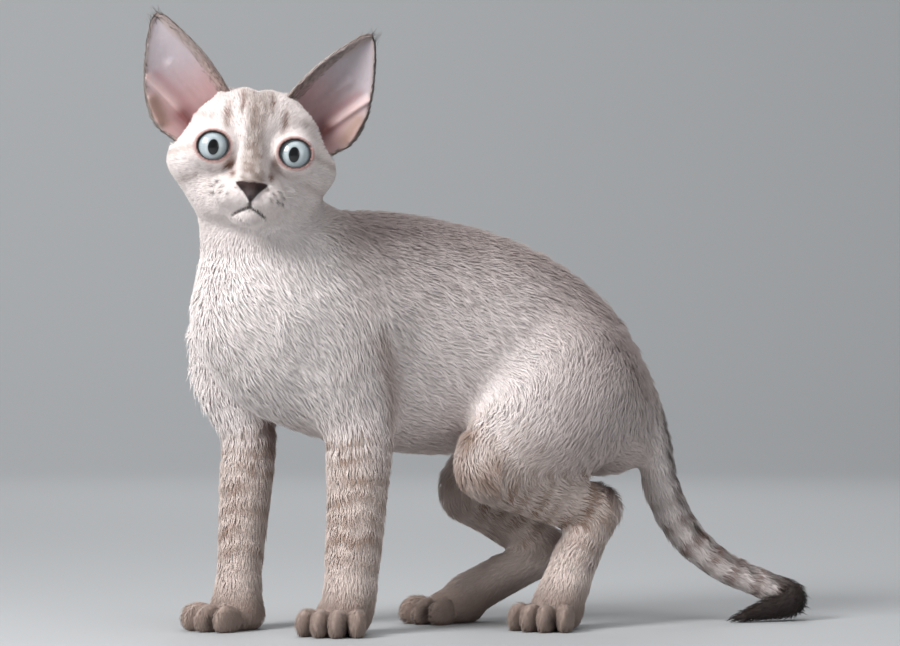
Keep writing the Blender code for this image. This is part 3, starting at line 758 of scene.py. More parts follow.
@dataclass
class Wrap:
    """Wraps a closed mesh round the flesh, finely where the face is."""

    fine: float = 0.70
    coarse: float = 1.9
    block: int = 4
    zones: tuple = (Zone(-92, 12, 54, 96), Zone(-176, -154, -90, 186), Zone(-3, 186, 240, 276))

    def mesh(self, flesh: Flesh) -> tuple:
        """Wraps the flesh with a point in each cell that the skin crosses.

        Args:
            flesh: What is wrapped.

        Returns:
            The points, and the faces of four corners.
        """
        axes = [zone.axis(self.fine, self.coarse) for zone in self.zones]
        value = self.sampled(flesh, axes)
        inside = value < 0
        shape = value.shape
        filled = sum(inside[i:shape[0] - 1 + i, j:shape[1] - 1 + j, k:shape[2] - 1 + k].astype(np.int8)
                     for i in (0, 1) for j in (0, 1) for k in (0, 1))
        cells = np.argwhere((filled > 0) & (filled < 8))
        label = np.full(filled.shape, -1, np.int32)
        label[tuple(cells.T)] = np.arange(len(cells))
        total = np.zeros((len(cells), 3))
        count = np.zeros(len(cells))
        faces = []
        for axis in range(3):
            along, first, second = np.roll(np.eye(3, dtype=int), -axis, axis=0)
            for i, j in ((0, 0), (1, 0), (0, 1), (1, 1)):
                start = cells + i * first + j * second
                a = value[tuple(start.T)]
                b = value[tuple((start + along).T)]
                crossed = (a < 0) != (b < 0)
                share = np.where(crossed, a / np.where(crossed, a - b, 1.0), 0.0)
                total += np.where(crossed[:, None], start + share[:, None] * along, 0.0)
                count += crossed
            here = inside[tuple(slice(0, n - k) for n, k in zip(shape, along))]
            there = inside[tuple(slice(k, n) for n, k in zip(shape, along))]
            starts = np.argwhere(here != there)
            quad = np.stack([label[tuple((starts - i * first - j * second).T)]
                             for i, j in ((0, 0), (1, 0), (1, 1), (0, 1))], axis=1)
            faces.append(np.where(inside[tuple(starts.T)][:, None], quad, quad[:, ::-1]))
        spots = total / count[:, None]
        points = np.stack([np.interp(spot, np.arange(len(axis)), axis) for spot, axis in zip(spots.T, axes)],
                          axis=1)
        return flesh.settle(points), np.vstack(faces)

    def sampled(self, flesh: Flesh, axes: list) -> Array:
        """Works out the flesh's value on the grid, finely only near the skin.

        Args:
            flesh: What is wrapped.
            axes: The places of the grid's planes along each axis.

        Returns:
            The value at each crossing of planes.
        """
        starts = [axis[::self.block] for axis in axes]
        ends = [np.append(axis[self.block::self.block], axis[-1]) for axis in axes]
        middles = [(a + b) / 2 for a, b in zip(starts, ends)]
        halves = [np.maximum((b - a) / 2, self.fine) for a, b in zip(starts, ends)]
        corner, reach = (np.stack(np.meshgrid(*rows, indexing="ij"), -1).reshape(-1, 3)
                         for rows in (middles, halves))
        rough = flesh.value(corner)
        near = np.abs(rough) < 1.5 * np.linalg.norm(reach, axis=1) + 1.5
        shape = [len(start) for start in starts]
        rough, near = rough.reshape(shape), near.reshape(shape)
        for axis in range(3):
            rough = rough.repeat(self.block, axis=axis)
            near = near.repeat(self.block, axis=axis)
        keep = tuple(slice(0, len(axis)) for axis in axes)
        value = rough[keep].copy()
        cells = np.argwhere(near[keep])
        places = np.stack([axes[k][cells[:, k]] for k in range(3)], axis=1)
        value[tuple(cells.T)] = flesh.value(places)
        return value


@dataclass
class Bone:
    """A centre line along which the coat lies, with its own part of the unwrap."""

    name: str
    limb: Limb
    tile: tuple
    backwards: bool = False
    steps: int = 4

    def line(self) -> Array:
        """The stations along the bone."""
        return smooth_curve(self.limb.stations, self.steps)[::-1 if self.backwards else 1]

    def read(self, points: Array) -> tuple:
        """Finds where points are along and round the bone.

        Args:
            points: Places.

        Returns:
            How far each is from the bone for its thickness, how far along in millimetres, the angle
            round it as a share, and the bone's direction there.
        """
        size = np.full(len(points), FAR)
        arc, angle = np.zeros((2, len(points)))
        way = np.zeros((len(points), 3))
        for beside in stretches(self.line(), self.limb.lie, points):
            across, deep, along = beside.axes
            here = np.linalg.norm(beside.offset, axis=1) / beside.width
            round_it = np.arctan2(beside.offset @ across, beside.offset @ deep) / TURN + 0.5
            better = here < size
            size = np.where(better, here, size)
            arc = np.where(better, beside.arc, arc)
            angle = np.where(better, round_it, angle)
            way[better] = along
        return size, arc, angle, way

    def reach(self) -> float:
        """The bone's whole length."""
        return np.linalg.norm(np.diff(self.line()[:, :3], axis=0), axis=1).sum()


BONES = [
    Bone("torso", SPINE, (0.5, 0.0, 0.5, 0.5)),
    Bone("neck", NECK, (0.0, 0.5, 0.25, 0.25), backwards=True),
    Bone("foreleg_left", FORELEG_LEFT, (0.25, 0.5, 0.125, 0.25)),
    Bone("foreleg_right", FORELEG_RIGHT, (0.375, 0.5, 0.125, 0.25)),
    Bone("thigh_left", THIGH_LEFT, (0.5, 0.5, 0.125, 0.25)),
    Bone("shank_left", SHANK_LEFT, (0.625, 0.5, 0.125, 0.25)),
    Bone("hock_left", HOCK_LEFT, (0.75, 0.5, 0.125, 0.25)),
    Bone("thigh_right", THIGH_RIGHT, (0.875, 0.5, 0.125, 0.25)),
    Bone("shank_right", SHANK_RIGHT, (0.0, 0.75, 0.125, 0.25)),
    Bone("hock_right", HOCK_RIGHT, (0.125, 0.75, 0.125, 0.25)),
    Bone("tail", TAIL, (0.25, 0.75, 0.25, 0.25)),
]
OWNERS = [bone.name for bone in BONES] + ["head"]
HEAD_OWNER = len(BONES)
HEAD_TILE = (0.0, 0.0, 0.5, 0.5)
EAR_TILES = {Side.LEFT: (0.5, 0.75, 0.25, 0.25), Side.RIGHT: (0.75, 0.75, 0.25, 0.25)}
TILE_MARGIN = 0.03


def in_tile(tile: tuple, across: Array, up: Array) -> Array:
    """Places shares from 0 to 1 in one tile of the unwrap.

    Args:
        tile: Its left edge, lower edge, width and height.
        across: Shares of its width.
        up: Shares of its height.

    Returns:
        Two numbers for each place.
    """
    left, low, wide, high = tile
    inner = 1 - 2 * TILE_MARGIN
    return np.stack([left + wide * (TILE_MARGIN + inner * np.clip(across, 0, 1)),
                     low + high * (TILE_MARGIN + inner * np.clip(up, 0, 1))], axis=1)


def unwrapped(owner: Array, arcs: Array, angles: Array, local: Array) -> Array:
    """Finds places on the unwrap of the skin.

    Args:
        owner: The part of the body whose tile holds each point, as its number in OWNERS.
        arcs: How far each point is along each bone.
        angles: Where it is round each bone, as a share of a turn.
        local: The points in the head's frame.

    Returns:
        Two numbers from 0 to 1 for each point.
    """
    found = np.zeros((len(local), 2))
    for number, bone in enumerate(BONES):
        mine = owner == number
        found[mine] = in_tile(bone.tile, angles[number][mine], arcs[number][mine] / bone.reach())
    mine = owner == HEAD_OWNER
    x, y, z = local[mine].T
    rise = np.arctan2(z, np.hypot(x, y)) / np.pi + 0.5
    found[mine] = in_tile(HEAD_TILE, np.arctan2(x, -y) / TURN + 0.5, rise)
    return found


class Survey:
    """Which part of the body each point belongs to, and the lie of its coat."""

    def __init__(self, points: Array) -> None:
        """Reads all the bones.

        Args:
            points: Places in the kitten's frame.
        """
        self.points = points
        read = [bone.read(points) for bone in BONES]
        self.sizes, self.arcs, self.angles, self.ways = (np.stack(rows) for rows in zip(*read))
        self.relief = Relief(points)
        self.local = self.relief.local
        self.owner = self.sizes.argmin(0)
        self.owner[self.relief.head > 0.5] = HEAD_OWNER

    def lie(self, normals: Array) -> Array:
        """Finds the direction in which the coat lies, along the skin.

        Args:
            normals: The way out of the skin at each point.

        Returns:
            A direction for each point.
        """
        weight = np.exp(-7.0 * (self.sizes - self.sizes.min(0)))
        way = np.einsum("bn,bnk->nk", weight, self.ways) / weight.sum(0)[:, None]
        trunk = fade(self.points[:, 2], 78, 120) * (1 - self.relief.tail)
        way = way + trunk[:, None] * (0, 0.05, -0.5)
        face = unit(unit(self.local - (0, -30, -16)) + (0, 0.55, 0)) @ HEAD.turn.T
        way = unit(across_from(mixed(way, face, self.relief.head), normals))
        drift = 0.16 * uneven(self.points, 24, 5) + 0.10 * uneven(self.points, 9, 6)
        return unit(way + np.cross(normals, way) * (drift * (1 - 0.5 * self.relief.head))[:, None])

    def along(self) -> Array:
        """How far along its bone each point is, for the waves of the coat."""
        return np.take_along_axis(self.arcs, np.minimum(self.owner, len(BONES) - 1)[None], 0)[0]


PALE = np.array((0.83, 0.745, 0.72))
WHITE = np.array((0.87, 0.8, 0.78))
BACK = np.array((0.38, 0.31, 0.295))
BAR = np.array((0.28, 0.185, 0.14))
TICKED = np.array((0.28, 0.22, 0.195))
BROWN = np.array((0.19, 0.105, 0.08))
DARK = np.array((0.022, 0.014, 0.012))
LEG = np.array((0.5, 0.37, 0.3))
PAW_GREY = np.array((0.26, 0.185, 0.15))
CANAL_PINK_AND_SHADE = np.array((0.47, 0.24, 0.23))
RIM_PINK = np.array((0.36, 0.185, 0.17))
MAROON = np.array((0.022, 0.0075, 0.007))
TAIL_STRIPE = 0.44  # the angle round the tail at which its dark stripe lies, as a share of a turn

# Along the body: where the back's top is, and how far down its colour reaches
BACK_TOP = ((-90, -50, -15, 20, 50, 71, 84), (196, 200, 197, 188, 168, 137, 118))
BACK_REACH = ((-90, -50, 0, 60, 90), (50, 66, 60, 48, 40))
# The crease behind the left shoulder, in Y and Z, where a brown stripe and painted shade are put
CREASE_SHADE_LINE = ((-50, 138), (-40, 98))

# In the face, seen from the front
BAND_WIDTH = ((-16, -6, 4, 12, 26), (7.0, 5.6, 4.2, 4.6, 6.5))
BAND_STRENGTH = ((-17, -13, 4, 16, 26, 30), (1.0, 0.92, 0.84, 0.84, 0.62, 0.36))
NOSE_WIDTH = ((-24.5, -23.4, -20, -17, -15.6, -15), (0.6, 1.2, 3.6, 7.0, 7.2, 5.5))
MOUTH = (((0, -23.5), (0, -26.8)), ((0, -26.7), (3.6, -28.2)), ((3.6, -28.2), (7.6, -30.6)))
CHEEK_LINES = (((28, -1), (37, -4), 0.4), ((24, -13), (36, -18), 0.3))
BLOTS = ((-12.6, 14, 1.7, 5.4, 1.0), (12.1, 13, 1.7, 5.0, 1.0), (-6.5, 21, 1.5, 6, 0.8),
         (6.3, 21, 1.5, 6, 0.8), (-10, -7.5, 2.2, 3.6, 1.0), (10, -7, 2.3, 3.6, 1.0),
         (-8.2, -12.0, 1.2, 2.0, 1.0), (8.2, -12.4, 1.4, 2.2, 1.0), (-22, 13.5, 5, 1.6, 0.4),
         (22, 13.5, 5, 1.6, 0.4))  # x, z, width, height and strength
WHISKER_SPOTS = ((-16.5, -17.5), (-14.5, -15.5), (-12.5, -18), (-16, -20.5), (-13, -20.5), (-10.5, -21.5),
                 (10, -20), (12.5, -18.5), (14.5, -20.5), (9, -22.5), (12, -23), (14.5, -23.5))


@dataclass(frozen=True)
class Bars:
    """Bars across a limb.

    Pitch is how far apart they are, low and high are where along the bone they start and end, lean is
    how far a bar climbs round the limb, and start is how far the first one is moved along.
    """

    bone: str
    pitch: float
    low: float
    high: float
    strength: float
    lean: float
    start: float = 0.0


LEG_BARS = (
    Bars("foreleg_left", 9.6, 46, 122, 1.0, 2.0),
    Bars("foreleg_right", 9.6, 38, 116, 1.0, 2.0, start=3),
    Bars("shank_left", 8.4, -6, 66, 1.3, 1.5),
    Bars("hock_left", 8.5, -4, 36, 0.8, 1.5),
    Bars("thigh_left", 9.0, 34, 90, 0.6, 3.0),
    Bars("thigh_right", 9.5, 18, 66, 0.75, 3.0),
    Bars("shank_right", 9.0, -6, 50, 1.0, 1.5),
)


def ear_canal(local: Array) -> Array:
    """Finds how much of the inside of an ear's base each point shows, for its pink and the painted shade of
    its canal.

    Args:
        local: Places in the head's frame.

    Returns:
        A share for each point.
    """
    share = np.zeros(len(local))
    for side in Side:
        across, deep, up = EAR.inward(local * (side.value, 1, 1)).T
        outer, inner = ear_edges(up)
        half = (outer - inner) / 2
        aside = across - (outer + inner) / 2
        bow = np.clip(aside / np.maximum(half, EAR_NARROWEST), -1, 1)
        ahead = deep + np.interp(up, *EAR_CUP) * (1 - bow**2)
        inside = (1 - fade(np.abs(aside) - half, -1.5, 0.5)) * (1 - fade(up, 12, 20))
        lip = fade(up + EAR_BROW * across, -3.5, 0.5)
        share = np.maximum(share, inside * lip * (1 - fade(deep, 0, 3)) * fade(ahead, -1.0, 0.6))
    return share


class MarkingsAndShade:
    """The colours of skin and coat, from the place on the body alone."""

    def __init__(self, survey: Survey) -> None:
        """Starts with the pale ground colour.

        Args:
            survey: What is known of the points.
        """
        self.survey = survey
        self.points = survey.points
        self.relief = survey.relief
        self.colour = np.tile(PALE, (len(self.points), 1))

    def stain_and_shade(self, colour: Array, share: Array) -> None:
        """Mixes a colour in, by a share for each point."""
        self.colour = mixed(self.colour, colour, np.clip(share, 0, 1))

    def bone(self, name: str) -> tuple:
        """Reads one bone.

        Args:
            name: Which bone.

        Returns:
            The points' arcs and angles, and how much each point belongs to the bone.
        """
        number = OWNERS.index(name)
        sizes = self.survey.sizes
        mine = 1 - fade(sizes[number] - sizes.min(0), 0.0, 0.25)
        return self.survey.arcs[number], self.survey.angles[number], mine

    def spot(self, centre: tuple, radii: tuple) -> Array:
        """A soft ellipsoid spot in the kitten's frame."""
        return hill(np.linalg.norm((self.points - centre) / radii, axis=1))

    def painted(self) -> Array:
        """Paints all markings, and the painted shade among them.

        Returns:
            The colour of each point.
        """
        self.trunk()
        self.legs()
        self.tail()
        self.head()
        self.face()
        return self.colour

    def trunk(self) -> None:
        """The pale chest and belly, the darker back and nape, and a brown stripe with painted shade in the
        crease behind the left shoulder.
        """
        x, y, z = self.points.T
        trunk = fade(z, 84, 104) * (1 - self.relief.head)
        rough = uneven(self.points, 26, 11) + 0.6 * uneven(self.points * (1, 0.5, 1), 7, 12)
        streak = np.clip(uneven(self.points * (1, 0.3, 0.8), 5, 13), 0, 1)
        share = 1 - np.clip((np.interp(y, *BACK_TOP) - z + 4.5 * rough) / np.interp(y, *BACK_REACH), 0, 1)
        self.stain_and_shade(BACK, trunk * (0.88 * share**1.7 + 0.15 * streak) * fade(y, -86, -62))
        self.stain_and_shade(TICKED, trunk * 0.24 * share * streak * fade(y, -70, -40))
        self.stain_and_shade(WHITE, trunk * 0.7 * (1 - fade(y, -84, -58)))
        nape = fade(-x * 0.45 + (y + 96) * 0.9, 4, 22) * fade(z, 168, 192) * (1 - self.relief.head * 0.4)
        self.stain_and_shade(BACK, 0.75 * nape * (1 + 0.25 * rough))
        # partly a brown stripe, partly painted shade darkening the crease behind the left shoulder
        self.stain_and_shade(BAR, 0.55 * hill(near_line(self.points[:, 1:], *CREASE_SHADE_LINE) / 4.5) * fade(x, 0, 10))
        self.stain_and_shade(BROWN, 0.7 * self.spot((15.9, -68.7, 100.8), (2.6, 2.6, 2.6)))

    def bars(self) -> None:
        """The bars of all legs."""
        bend = 1.6 * uneven(self.points, 19, 21)
        broken = np.clip(0.65 + 0.45 * uneven(self.points, 21, 22), 0.25, 1)
        for bars in LEG_BARS:
            arc, angle, mine = self.bone(bars.bone)
            phase = (arc + bars.start + bend + bars.lean * np.sin(TURN * angle)) / bars.pitch
            wave = 0.5 + 0.5 * np.cos(TURN * phase)
            window = fade(arc, bars.low, bars.low + 10) * (1 - fade(arc, bars.high - 12, bars.high))
            self.stain_and_shade(BAR, bars.strength * mine * window * wave**1.5 * broken)

    def legs(self) -> None:
        """The warmer legs with their bars, the brown patches and the greyer paws, with painted shade on the
        haunch, inside the right foreleg and between the toes.
        """
        _, y, z = self.points.T
        body = 1 - self.relief.tail
        self.stain_and_shade(LEG, 0.5 * self.relief.leg)
        # partly a browner haunch, partly painted shade where the light falls off towards the rear
        self.stain_and_shade(BACK, 0.42 * fade(y, 12, 46) * fade(z, 62, 92) * body)
        self.bars()
        hock = self.spot((14, 67, 67), (9, 5, 7))
        self.stain_and_shade(BROWN, 0.9 * hock)
        self.stain_and_shade(DARK, 0.6 * hock)
        # a brown patch inside the right foreleg, darkened further as painted shade under the chest
        self.stain_and_shade(BROWN, 0.95 * self.spot((-30, -86, 96), (12, 8, 10)))
        feet = (1 - fade(z, 9, 30)) * body
        self.stain_and_shade(PAW_GREY, 0.8 * feet)
        self.stain_and_shade(BROWN, 0.55 * feet * (1 - fade(z, 1.0, 4.0)))
        for paw in PAWS:
            across, along, _ = paw.frame().inward(self.points).T
            here = (np.abs(across) < 18) & (along < 2) & (along > -27) & (z < 20)
            # painted shade: dark lines in the grooves between the toes
            slit = np.min([np.abs(across - k * paw.toe) for k in (-2, 0, 2)], axis=0)
            self.stain_and_shade(DARK, 0.75 * here * hill(slit / 0.75) * (1 - fade(along, -9, -3)))

    def tail(self) -> None:
        """A dark stripe along the tail, rings towards its end, and a near-black end."""
        arc, angle, mine = self.bone("tail")
        mine = mine * self.relief.tail
        rough = uneven(self.points, 6, 31)
        stripe = fade(np.cos(TURN * (angle - TAIL_STRIPE)), 0.35, 0.95)
        ring = 0.5 + 0.5 * np.cos(TURN * (arc - 6) / 12.5)
        far = fade(arc, 30, 95)
        self.stain_and_shade(TICKED, mine * 0.05)
        self.stain_and_shade(DARK, mine * stripe * (0.66 + 0.3 * rough) * fade(arc, -5, 12))
        self.stain_and_shade(BROWN, mine * ring**2.2 * (0.08 + 0.82 * far) * (0.8 + 0.3 * rough) * fade(arc, 8, 24))
        self.stain_and_shade(DARK, mine * 0.97 * fade(arc + 2 * rough, 124, 133))

    def head(self) -> None:
        """The greyish skull."""
        _, y, z = self.survey.local.T
        head = self.relief.head
        rough = uneven(self.points, 8, 41) + 0.5 * uneven(self.points, 3.2, 42)
        self.stain_and_shade(TICKED, head * fade(z, 4, 24) * fade(y, -22, 4) * (0.32 + 0.14 * rough))
        self.stain_and_shade(TICKED, head * 0.25 * fade(y, 8, 24) * fade(z, -22, 4))
        self.stain_and_shade(BAR, head * 0.10 * np.clip(rough, 0, 1))

    def face(self) -> None:
        """The marks of the face, seen from the front of the head, with painted shade in the nostrils, the
        grooves of the mouth and the ear canals.
        """
        x, y, z = self.survey.local.T
        front = self.relief.head * (1 - fade(y, -14, 2))
        rough = uneven(self.points, 4.2, 51)
        band = np.interp(z, *BAND_STRENGTH) * (1 - fade(np.abs(x) / np.interp(z, *BAND_WIDTH), 0.45, 1.25))
        self.stain_and_shade(TICKED, front * band * (1 + 0.3 * rough) * fade(z, -20, -17))
        for cx, cz, wide, high, strength in BLOTS:
            blot = np.exp(-(((x - cx) / wide) ** 2 + ((z - cz) / high) ** 2))
            self.stain_and_shade(BROWN, front * strength * blot * (1 + 0.3 * rough))
        self.cheeks()
        for cx, cz in WHISKER_SPOTS:
            blot = np.exp(-((((x - cx) ** 2 + (z - cz) ** 2) / 0.9) ** 1.5))
            self.stain_and_shade(DARK, front * 0.72 * blot)
        muzzle = np.exp(-(((np.abs(x) - 9) / 7) ** 2 + ((z + 24) / 6) ** 2))
        self.stain_and_shade(TICKED, front * 0.22 * muzzle * np.clip(0.6 + rough, 0, 1))
        self.stain_and_shade(WHITE, front * 0.5 * (1 - fade(z, -34, -29)))
        for side in Side:
            out = np.hypot((x - side.value * EYE_OUT) / (LID_WIDTH + 0.2), z / (LID_HEIGHT + 0.2))
            gap = (out - 1) * LID_HEIGHT
            self.stain_and_shade(RIM_PINK, front * (1 - fade(gap, 0.6, 1.5)) * 0.85)
            self.stain_and_shade(DARK, front * (1 - fade(gap, -0.15, 0.3)) * 0.95)
        leather = 1 - fade(np.abs(x) - np.interp(z, *NOSE_WIDTH), -0.4, 0.5)
        leather = front * leather * fade(z, -24.6, -23.8) * (1 - fade(z, -15.8, -15.0))
        self.stain_and_shade(MAROON, leather * (1 - fade(y, -35, -31)))
        # painted shade: the nostril openings darkened
        self.stain_and_shade(DARK, 0.8 * leather * fade(np.abs(x), 2.6, 4.4) * (1 - fade(z, -18.4, -16.8)))
        half = np.abs(self.survey.local[:, (0, 2)]) * (1, -1)
        mouth = np.min([near_line(half, *line) for line in MOUTH], axis=0)
        # dark lips, with painted shade in the grooves of the mouth and below the nose
        self.stain_and_shade(DARK, front * 0.97 * (1 - fade(mouth, 0.45, 1.15)) * (1 - fade(y, -33, -29)))
        # the pink of the ear's base, darkened as painted shade in the canal
        self.stain_and_shade(CANAL_PINK_AND_SHADE, self.relief.head * ear_canal(self.survey.local))

    def cheeks(self) -> None:
        """The faint lines of the cheeks."""
        cheek = self.relief.head * (1 - fade(self.survey.local[:, 1], 0, 20))
        for side in Side:
            flat = self.survey.local[:, (0, 2)] * (side.value, 1)
            for start, end, strength in CHEEK_LINES:
                self.stain_and_shade(BAR, cheek * strength * hill(near_line(flat, start, end) / 1.5))


def tinted(colour: Array, draw: np.random.Generator, amount: float) -> Array:
    """The colours, each a little lighter or darker than it was."""
    return np.clip(colour * (1 + amount * draw.normal(size=(len(colour), 1))), 0, 1)


SHEEN_SPREAD = 0.45
GLOSS_SPREAD = 0.03
BUMP_STRENGTH = 0.8
BLEED = (1.0, 0.35, 0.25)
BLEED_DEPTH = 0.003  # in metres, as the shader takes it


@dataclass(frozen=True)
class Finish:
    """A material whose colour comes from the piece's own markings.

    Sheen is the soft edge light of short hair, bump is the height of its fine grain in millimetres,
    and mottle is how far the grain lightens and darkens the colour.
    """

    name: str
    roughness: float = 0.7
    specular: float = 0.3
    sheen: float = 0.0
    subsurface: float = 0.0
    bump: float = 0.0
    grain: float = 900.0
    mottle: float = 0.1
    coat: float = 0.0

    def material(self) -> bpy.types.Material:
        """Makes the material, once.

        Returns:
            The material.
        """
        made = bpy.data.materials.get(self.name)
        if made:
            return made
        made = bpy.data.materials.new(self.name)
        made.use_nodes = True
        nodes, links = made.node_tree.nodes, made.node_tree.links
        shader = nodes["Principled BSDF"]
        shader.inputs["Roughness"].default_value = self.roughness
        shader.inputs["Specular IOR Level"].default_value = self.specular
        shader.inputs["Sheen Weight"].default_value = self.sheen
        shader.inputs["Sheen Roughness"].default_value = SHEEN_SPREAD
        shader.inputs["Coat Weight"].default_value = self.coat
        shader.inputs["Coat Roughness"].default_value = GLOSS_SPREAD
        if self.subsurface:
            shader.inputs["Subsurface Weight"].default_value = self.subsurface
            shader.inputs["Subsurface Radius"].default_value = BLEED
            shader.inputs["Subsurface Scale"].default_value = BLEED_DEPTH
        paint = nodes.new("ShaderNodeAttribute")
        paint.attribute_name = "paint"
        noise = self.noise(made.node_tree, self.grain * 0.35, 4.0)
        tone = nodes.new("ShaderNodeMapRange")
        tone.inputs["To Min"].default_value = 1 - self.mottle
        tone.inputs["To Max"].default_value = 1 + self.mottle
        links.new(noise, tone.inputs["Value"])
        scaled = nodes.new("ShaderNodeVectorMath")
        scaled.operation = "SCALE"
        links.new(paint.outputs["Color"], scaled.inputs["Vector"])
        links.new(tone.outputs["Result"], scaled.inputs["Scale"])
        links.new(scaled.outputs["Vector"], shader.inputs["Base Color"])
        if self.bump:
            bump = nodes.new("ShaderNodeBump")
            bump.inputs["Strength"].default_value = BUMP_STRENGTH
            bump.inputs["Distance"].default_value = self.bump * MM
            links.new(self.noise(made.node_tree, self.grain, 3.0), bump.inputs["Height"])
            links.new(bump.outputs["Normal"], shader.inputs["Normal"])
        return made

    @staticmethod
    def noise(tree: bpy.types.NodeTree, scale: float, detail: float) -> bpy.types.NodeSocket:
        """Adds a noise that stays with the piece.

        Args:
            tree: The material's nodes.
            scale: How fine it is.
            detail: How many finer ones are added to it.

        Returns:
            The socket that gives it.
        """
        place = tree.nodes.new("ShaderNodeTexCoord")
        noise = tree.nodes.new("ShaderNodeTexNoise")
        noise.inputs["Scale"].default_value = scale
        noise.inputs["Detail"].default_value = detail
        tree.links.new(place.outputs["Object"], noise.inputs["Vector"])
        return noise.outputs["Fac"]


SKIN_FINISH = Finish("kitten_skin", roughness=0.75, sheen=0.05, subsurface=0.12, bump=0.35, grain=1300)
COAT_FINISH = Finish("kitten_coat", roughness=0.8, specular=0.10, sheen=0.12, mottle=0.07, grain=500)
EAR_FINISH = Finish("kitten_ear", roughness=0.5, sheen=0.05, subsurface=0.2, bump=0.12, grain=700,
                    mottle=0.08)
EYE_FINISH = Finish("kitten_eye", roughness=0.35, specular=0.2, coat=1.0, mottle=0.02)
WHISKER_FINISH = Finish("kitten_whisker", roughness=0.4, mottle=0.02)


def mesh_object(name: str, points: Array, faces: Array, colours: Array, finish: Finish,
                places: Array) -> bpy.types.Object:
    """Makes a smooth mesh from places in the kitten's frame.

    Args:
        name: The piece's name.
        points: Its points in millimetres.
        faces: Its faces, all with the same number of corners.
        colours: A colour for each point.
        finish: Its material.
        places: A place on the unwrap for each corner of each face.

    Returns:
        The piece, riding on the one body.
    """
    mesh = bpy.data.meshes.new(name)
    mesh.vertices.add(len(points))
    mesh.vertices.foreach_set("co", ((points + SHIFT) * MM).astype(np.float32).ravel())
    mesh.loops.add(faces.size)
    mesh.loops.foreach_set("vertex_index", faces.astype(np.int32).ravel())
    mesh.polygons.add(len(faces))
    mesh.polygons.foreach_set("loop_start", np.arange(len(faces), dtype=np.int32) * faces.shape[1])
    mesh.update(calc_edges=True)
    mesh.shade_smooth()
    paint = mesh.color_attributes.new("paint", "FLOAT_COLOR", "POINT")
    opaque = np.hstack([colours, np.ones((len(points), 1))])
    paint.data.foreach_set("color", opaque.astype(np.float32).ravel())
    mesh.uv_layers.new(name="OFBake").data.foreach_set("uv", places.astype(np.float32).ravel())
    mesh.materials.append(finish.material())
    thing = bpy.data.objects.new(name, mesh)
    bpy.context.scene.collection.objects.link(thing)
    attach(thing, BODY)
    LOG.info("%s: %d faces", name, len(faces))
    return thing


def closed_up(shares: Array, faces: Array) -> Array:
    """Takes shares of a turn to the corners of faces, without a jump inside a face.

    Args:
        shares: One for each point.
        faces: The faces.

    Returns:
        One share for each corner of each face.
    """
    corner = shares[..., faces.ravel()]
    first = shares[..., faces[:, 0]].repeat(faces.shape[1], axis=-1)
    return corner - np.round(corner - first)


@dataclass
class Skin:
    """The one skin under the coat."""

    flesh: Flesh
    wrap: Wrap = field(default_factory=Wrap)

    def build(self) -> tuple:
        """Makes the skin.

        Returns:
            Its points and its faces.
        """
        points, faces = self.wrap.mesh(self.flesh)
        survey = Survey(points)
        owner = survey.owner[faces[:, 0]].repeat(4)
        flat = faces.ravel()
        places = unwrapped(owner, survey.arcs[:, flat], closed_up(survey.angles, faces), survey.local[flat])
        piece = mesh_object("skin", points, faces, MarkingsAndShade(survey).painted(), SKIN_FINISH, places)
        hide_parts("head", "neck", "torso", "foreleg_left", "foreleg_right", "forepaw_left",
                    "forepaw_right", "hind_leg_left", "hind_leg_right", "hind_foot_left", "hind_foot_right",
                    "tail_root", "tail_middle", "tail_end")
        return points, faces


SECTION_SHARE = 0.45  # how far a lock is shaded by its own roundness, and not by the skin it lies on
SECTION = np.radians((90, 210, 330))


@dataclass
class Strands:
    """Thin tapered locks with three sides, all with the same number of rings."""

    name: str
    centres: Array
    widths: Array
    across: Array
    colours: Array
    places: Array
    normals: Array | None = None
    flat: float = 0.42
    patch: float = 0.003

    def pattern(self, rings: int) -> Array:
        """Finds the faces of one lock.

        Args:
            rings: How many rings it has, with its tip.

        Returns:
            Three corners for each face.
        """
        faces = [(0, 2, 1)]
        last = 3 * (rings - 2)
        for low in range(0, last, 3):
            for i in range(3):
                a, b = low + i, low + (i + 1) % 3
                faces += [(a, b, b + 3), (a, b + 3, a + 3)]
        return np.array(faces + [(last + i, last + (i + 1) % 3, last + 3) for i in range(3)])

    def build(self, finish: Finish, slot: str, nodes: tuple) -> None:
        """Makes the locks as one mesh.

        Args:
            finish: Their material.
            slot: Not used.
            nodes: The solids that they stand for.
        """
        count, rings = self.centres.shape[:2]
        along = unit(np.gradient(self.centres, axis=1))
        side = unit(across_from(self.across[:, None], along))
        rise = np.cross(along, side)[:, :-1, None]
        side = side[:, :-1, None]
        flank, roof = np.cos(SECTION)[:, None] * side, np.sin(SECTION)[:, None] * rise
        ring = self.centres[:, :-1, None] + self.widths[:, :-1, None, None] / 2 * (flank + self.flat * roof)
        points = np.concatenate([ring.reshape(count, -1, 3), self.centres[:, -1:]], axis=1)
        pattern = self.pattern(rings)
        faces = (np.arange(count)[:, None, None] * points.shape[1] + pattern).reshape(-1, 3)
        shade = np.concatenate([self.colours[:, :-1].repeat(3, axis=1), self.colours[:, -1:]], axis=1)
        shares = np.linspace(1, 0, rings)[:-1].repeat(3)[:, None]
        spread = np.tile(np.stack([np.cos(SECTION), np.sin(SECTION)], 1), (rings - 1, 1)) * shares
        spread = self.patch / 2 * np.vstack([spread, np.zeros((1, 2))])
        places = (self.places[:, None] + spread)[:, pattern.ravel()].reshape(-1, 2)
        piece = mesh_object(self.name, points.reshape(-1, 3), faces, shade.reshape(-1, 3), finish, places)
        if self.normals is not None:
            soft = unit(self.normals[:, None, None] + SECTION_SHARE * (flank + roof)).reshape(count, -1, 3)
            soft = np.concatenate([soft, self.normals[:, None]], axis=1).reshape(-1, 3)
            piece.data.normals_split_custom_set_from_vertices(soft.astype(np.float32))
        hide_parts(*nodes)


